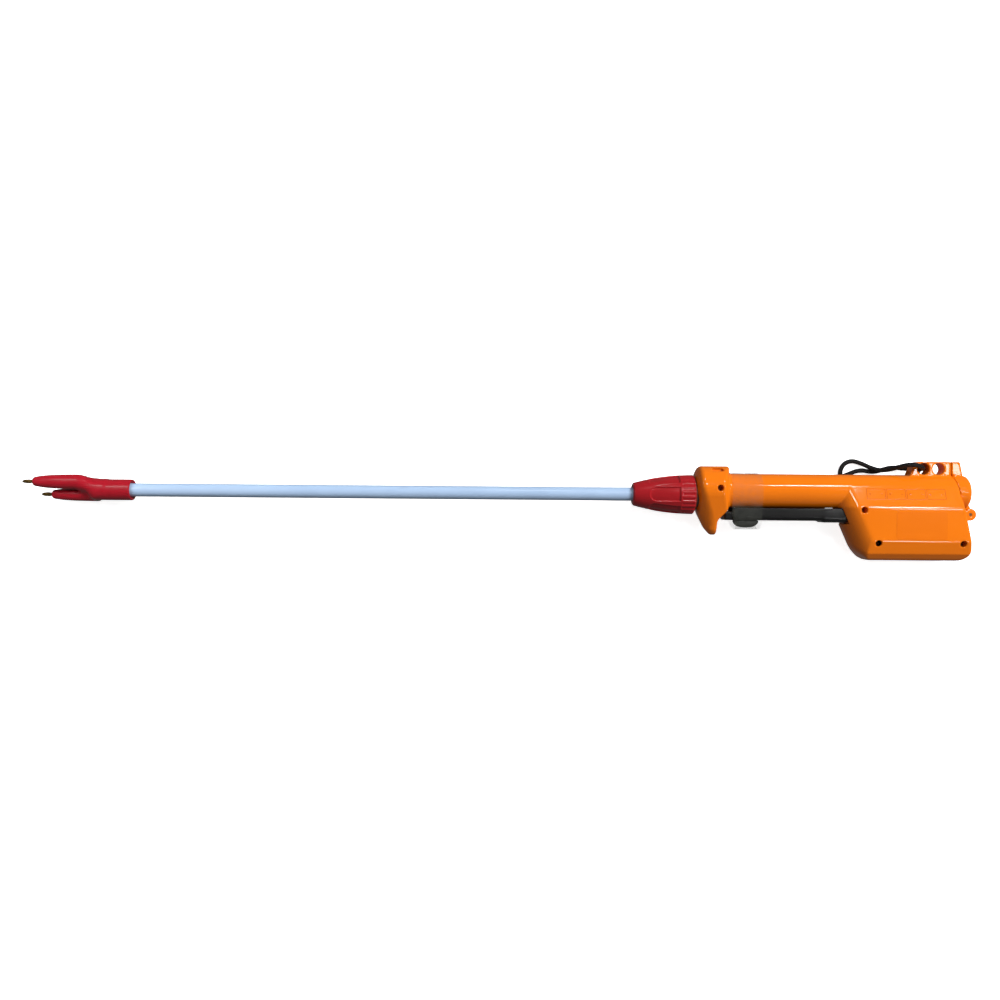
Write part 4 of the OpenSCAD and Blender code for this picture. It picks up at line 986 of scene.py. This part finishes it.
lever = field_mesh([lever_field], [28, -30, -15], [193, -11, 15], LEVER_STEP)
add_piece("trigger_lever_moulded", *lever, "lever", "black_plastic", ["trigger_lever"])
pad = field_mesh([pad_field], [39, -37, -11], [69, -24, 11], PAD_STEP)
add_piece("trigger_pad_moulded", *pad, "lever", "black_rubber", ["trigger_pad"])

# Clear film round the grip and the lever's front
FILM_LOW, FILM_HIGH = tool_box("film_band")
FILM_TOP = FILM_HIGH[1]
FILM_BIG = FILM_TOP - GRIP_Y
FILM_SMALL = 14.55
FILM_SMALL_Y = FILM_LOW[1] + FILM_SMALL
FILM_THICK = 0.2
FILM_SLANT, SLANT_TOP, SLANT_HEIGHT = 6.0, -20.0, 15.0
FILM_COLUMNS = 240
FILM_ROWS = 60
# Creases as (depth, waves round the film, lean of the waves along x)
CREASES = [(0.1, 9, 0.15), (0.07, 23, -0.3)]
# Thin cover of specks all over, then milky places as (y where it starts, y where it is full,
# how much it covers): the top and the bottom
SPECK_SCALE, SPECK_COVER = 160.0, 0.08
MILKY_PLACES = [(FILM_TOP - 1.0, FILM_TOP - 0.1, 0.28), (-27.0, -31.0, 0.09)]


def egg_loop(big_y, big_r, small_y, small_r, count):
    """Even points (y, z) round two circles joined by touching lines, from the top round and back."""
    lean = math.asin((big_r - small_r) / (big_y - small_y))
    upper = np.linspace(0, np.pi / 2 + lean, 200)
    lower = np.linspace(np.pi / 2 + lean, np.pi, 200)
    y = np.concatenate([big_y + big_r * np.cos(upper), small_y + small_r * np.cos(lower)])
    z = np.concatenate([big_r * np.sin(upper), small_r * np.sin(lower)])
    y, z = np.concatenate([y, y[-2:0:-1]]), np.concatenate([z, -z[-2:0:-1]])
    y, z = np.append(y, y[0]), np.append(z, z[0])
    way = np.concatenate([[0], np.cumsum(np.hypot(np.diff(y), np.diff(z)))])
    even = np.linspace(0, way[-1], count, endpoint=False)
    return np.stack([np.interp(even, way, y), np.interp(even, way, z)], -1)


def film_grid(inset):
    """The film's wall, inset from its outside: an egg loop along x with shallow creases.

    The wall is pushed inwards by waves round it, and its lower front is cut at a slant.
    """
    loop = egg_loop(GRIP_Y, FILM_BIG, FILM_SMALL_Y, FILM_SMALL, FILM_COLUMNS)
    outward = np.stack([np.roll(loop[:, 1], 1) - np.roll(loop[:, 1], -1),
                        np.roll(loop[:, 0], -1) - np.roll(loop[:, 0], 1)], -1)
    outward /= np.linalg.norm(outward, axis=1, keepdims=True)
    share = np.linspace(0, 1, FILM_ROWS)[:, None]
    front = FILM_LOW[0] + FILM_SLANT * np.clip((SLANT_TOP - loop[None, :, 0]) / SLANT_HEIGHT, 0, 1)
    x = front + share * (FILM_HIGH[0] - front)
    turn = 2 * np.pi * np.arange(FILM_COLUMNS)[None] / FILM_COLUMNS
    crease = sum(depth * (np.sin(waves * turn + lean * x) - 1) for depth, waves, lean in CREASES)
    flat = loop[None] + (crease - inset)[..., None] * outward[None]
    return np.concatenate([x[..., None], flat], -1)


def make_film(name):
    """Clear film: nearly see-through, milkier where it is doubled at its top and bunched at its bottom."""
    material, tree, shader = principled(name, (0.26, 0.27, 0.23), 0.12)
    place = tree.nodes.new("ShaderNodeTexCoord").outputs["Object"]
    split = tree.nodes.new("ShaderNodeSeparateXYZ")
    tree.links.new(place, split.inputs["Vector"])
    thin = tree.nodes.new("ShaderNodeMapRange")
    thin.inputs["To Max"].default_value = SPECK_COVER
    tree.links.new(add_noise(tree, place, SPECK_SCALE, 2.0), thin.inputs["Value"])
    cover = thin.outputs["Result"]
    for start, full, share in MILKY_PLACES:
        thick = tree.nodes.new("ShaderNodeMapRange")
        thick.inputs["From Min"].default_value = SHAFT_AXIS + start * MM
        thick.inputs["From Max"].default_value = SHAFT_AXIS + full * MM
        thick.inputs["To Max"].default_value = share
        tree.links.new(split.outputs["Y"], thick.inputs["Value"])
        cover = calculate(tree, "ADD", cover, thick.outputs["Result"])
    tree.links.new(cover, shader.inputs["Alpha"])
    return material


MATERIALS["clear_film"] = make_film("clear_film")
film_points, film_faces = wrapped_rings(np.concatenate([film_grid(0.0), film_grid(FILM_THICK)[::-1]]))
add_piece("film_band_creased", film_points, film_faces[:, ::-1], "handle", "clear_film", ["film_band"],
          crease=60)

# Bare plate and the raised cell marks on the left shell, the marks darkened with painted shade
PLATE = (228.7, -30.4)
PLATE_HALF = (26.0, 14.2)
PLATE_CORNER = 2.5
PLATE_FACE = HALF_WIDTH - 0.04
PLATE_ROOT = HALF_WIDTH - 0.6
PLATE_EDGE = 0.08
PLATE_BORDER = 2.0


def plate_ring(shrink, z):
    """A rounded rectangle round the plate's middle, each side moved in by shrink, at one height."""
    corner = max(PLATE_CORNER - shrink, 0.05)
    angle = np.linspace(0, 2 * np.pi, 96, endpoint=False)
    quarter = np.floor(angle / (np.pi / 2))
    across = np.where((quarter == 0) | (quarter == 3), 1, -1)
    up = np.where(quarter < 2, 1, -1)
    x = PLATE[0] + across * (PLATE_HALF[0] - shrink - corner) + corner * np.cos(angle)
    y = PLATE[1] + up * (PLATE_HALF[1] - shrink - corner) + corner * np.sin(angle)
    return np.stack([x, y, np.full_like(x, z)], -1)


plate_rings = np.stack([plate_ring(0, PLATE_ROOT), plate_ring(0, PLATE_FACE - PLATE_EDGE),
                        plate_ring(PLATE_EDGE, PLATE_FACE), plate_ring(PLATE_BORDER, PLATE_FACE)])
add_piece("bare_plate", *closed_rings(plate_rings), "handle", "orange_plastic",
          material=MATERIALS["plate_orange"])

MARK_FRONT, MARK_REAR, MARK_LENGTH = 173.5, 254.5, 19.0
MARK_BOTTOM, MARK_TOP = -3.2, 7.2
MARK_RADIUS = 0.28
MARK_SINK = 0.05
CELL_MARKS = 4
SIGN_INSET, SIGN_HALF = 3.25, 1.25


def mark_bar(start, stop):
    """A straight raised bar between two places (x, y) on the box's leaning upper side."""
    share = np.linspace(0, 1, 6)
    x, y = start[0] + share * (stop[0] - start[0]), start[1] + share * (stop[1] - start[1])
    way = np.stack([x, y, upper_width(y) - MARK_SINK], -1)
    return closed_rings(tube_points(way, MARK_RADIUS, 8))


mark_parts = []
mark_middle = (MARK_BOTTOM + MARK_TOP) / 2
for front in np.linspace(MARK_FRONT, MARK_REAR - MARK_LENGTH, CELL_MARKS):
    rear = front + MARK_LENGTH
    corners = [(front, MARK_BOTTOM), (front, MARK_TOP), (rear, MARK_TOP), (rear, MARK_BOTTOM)]
    mark_parts += [mark_bar(a, b) for a, b in zip(corners, corners[1:] + corners[:1])]
    plus, minus = front + SIGN_INSET, rear - SIGN_INSET
    for sign in (plus, minus):
        mark_parts.append(mark_bar((sign - SIGN_HALF, mark_middle), (sign + SIGN_HALF, mark_middle)))
    mark_parts.append(mark_bar((plus, mark_middle - SIGN_HALF), (plus, mark_middle + SIGN_HALF)))
mark_starts = np.cumsum([0] + [len(points) for points, _ in mark_parts[:-1]])
mark_points = np.concatenate([points for points, _ in mark_parts])
mark_faces = np.concatenate([faces + start for (_, faces), start in zip(mark_parts, mark_starts)])
# The marks' darker orange is painted shade along the raised lines
add_piece("cell_marks", mark_points, mark_faces, "handle", "orange_plastic",
          material=MATERIALS["mark_orange"])

# Floor, in metres: flat round the tool, then sweeping up on a quarter circle to a plain wall
FLOOR_MIDDLE, FLOOR_FLAT, FLOOR_SWEEP, WALL_TOP = 1.0, 5.0, 2.5, 7.0
FLOOR_COLUMNS = 72
FLOOR_GLOW, WORLD_GLOW = 0.84, 0.13
sweep_turn = np.linspace(0, np.pi / 2, 13)[1:]
sweep_radius = np.concatenate([[FLOOR_MIDDLE, FLOOR_FLAT], FLOOR_FLAT + FLOOR_SWEEP * np.sin(sweep_turn),
                               [FLOOR_FLAT + FLOOR_SWEEP]])
sweep_height = np.concatenate([[0.0, 0.0], FLOOR_SWEEP * (1 - np.cos(sweep_turn)), [WALL_TOP]])
floor_angle = np.linspace(0, 2 * np.pi, FLOOR_COLUMNS, endpoint=False)
floor_points = [(radius * math.cos(angle), radius * math.sin(angle), height)
                for radius, height in zip(sweep_radius, sweep_height) for angle in floor_angle]
floor_faces = [tuple(range(FLOOR_COLUMNS))]
for row in range(len(sweep_radius) - 1):
    for column in range(FLOOR_COLUMNS):
        beside = (column + 1) % FLOOR_COLUMNS
        inner, outer = row * FLOOR_COLUMNS, (row + 1) * FLOOR_COLUMNS
        floor_faces.append((inner + column, outer + column, outer + beside, inner + beside))
floor_mesh = bpy.data.meshes.new("floor")
floor_mesh.from_pydata(floor_points, [], floor_faces)
pale_floor, _, floor_shader = principled("pale_floor", (0.95, 0.95, 0.95), 0.9)
floor_shader.inputs["Emission Color"].default_value = (1.0, 1.0, 1.0, 1.0)
floor_shader.inputs["Emission Strength"].default_value = FLOOR_GLOW
floor_mesh.materials.append(pale_floor)
floor = add_object("floor", floor_mesh)
floor.visible_diffuse = False
floor.visible_glossy = False


def add_light(name, at, aim, size, power, mirrored=True, beam=180.0):
    """A soft rectangular light at a place in metres, turned to its aim, seen in shiny faces or not.

    The beam is the angle in degrees that its light spreads over.
    """
    lamp = bpy.data.lights.new(name, "AREA")
    lamp.shape = "RECTANGLE"
    lamp.size, lamp.size_y = size
    lamp.energy = power
    lamp.spread = math.radians(beam)
    light = add_object(name, lamp)
    light.location = at
    towards = np.array(aim, float) - np.array(at, float)
    flat = math.hypot(towards[0], towards[1])
    heading = math.atan2(towards[1], towards[0]) - math.pi / 2
    light.rotation_euler = (math.atan2(flat, -towards[2]), 0, heading)
    light.visible_glossy = mirrored


# One broad far light shades the tool from its cap end and top, a small one lifts the shaft's front end,
# and the strips are there for the lines that they draw in the gloss
add_light("key", (3.14, 2.0, 2.9), (0.1, 0.0, 0.0), (1.8, 1.8), 240.0, mirrored=False)
add_light("shaft_fill", (-0.75, 0.35, 0.7), (-0.4, 0.0, 0.0), (0.5, 0.5), 0.7, mirrored=False, beam=60.0)
add_light("grip_strip", (0.74, 0.77, 1.0), (0.74, 0.0, 0.03), (0.2, 0.07), 2.0)
add_light("edge_strip", (0.88, 0.30, 1.05), (0.88, 0.0, 0.04), (0.18, 0.08), 1.8)
add_light("heel_strip", (0.90, -0.43, 1.0), (0.90, 0.0, 0.04), (0.2, 0.08), 1.0)
add_light("nose_strip", (0.36, 0.44, 1.0), (0.36, 0.0, 0.04), (0.08, 0.12), 1.1)
add_light("lug_strip", (0.91, 0.085, 1.0), (0.91, 0.0, 0.04), (0.16, 0.05), 0.5)
add_light("nut_strip", (0.05, 1.1, 1.0), (0.05, 0.0, 0.03), (0.2, 0.3), 2.2)
add_light("head_strip", (-0.94, 0.7, 1.0), (-0.94, 0.0, 0.03), (0.4, 0.14), 1.0)
world = bpy.data.worlds.new("studio")
bpy.context.scene.world = world
world.use_nodes = True
world.node_tree.nodes["Background"].inputs["Color"].default_value = (1.0, 1.0, 1.0, 1.0)
world.node_tree.nodes["Background"].inputs["Strength"].default_value = WORLD_GLOW
bpy.context.scene.view_settings.view_transform = "Standard"
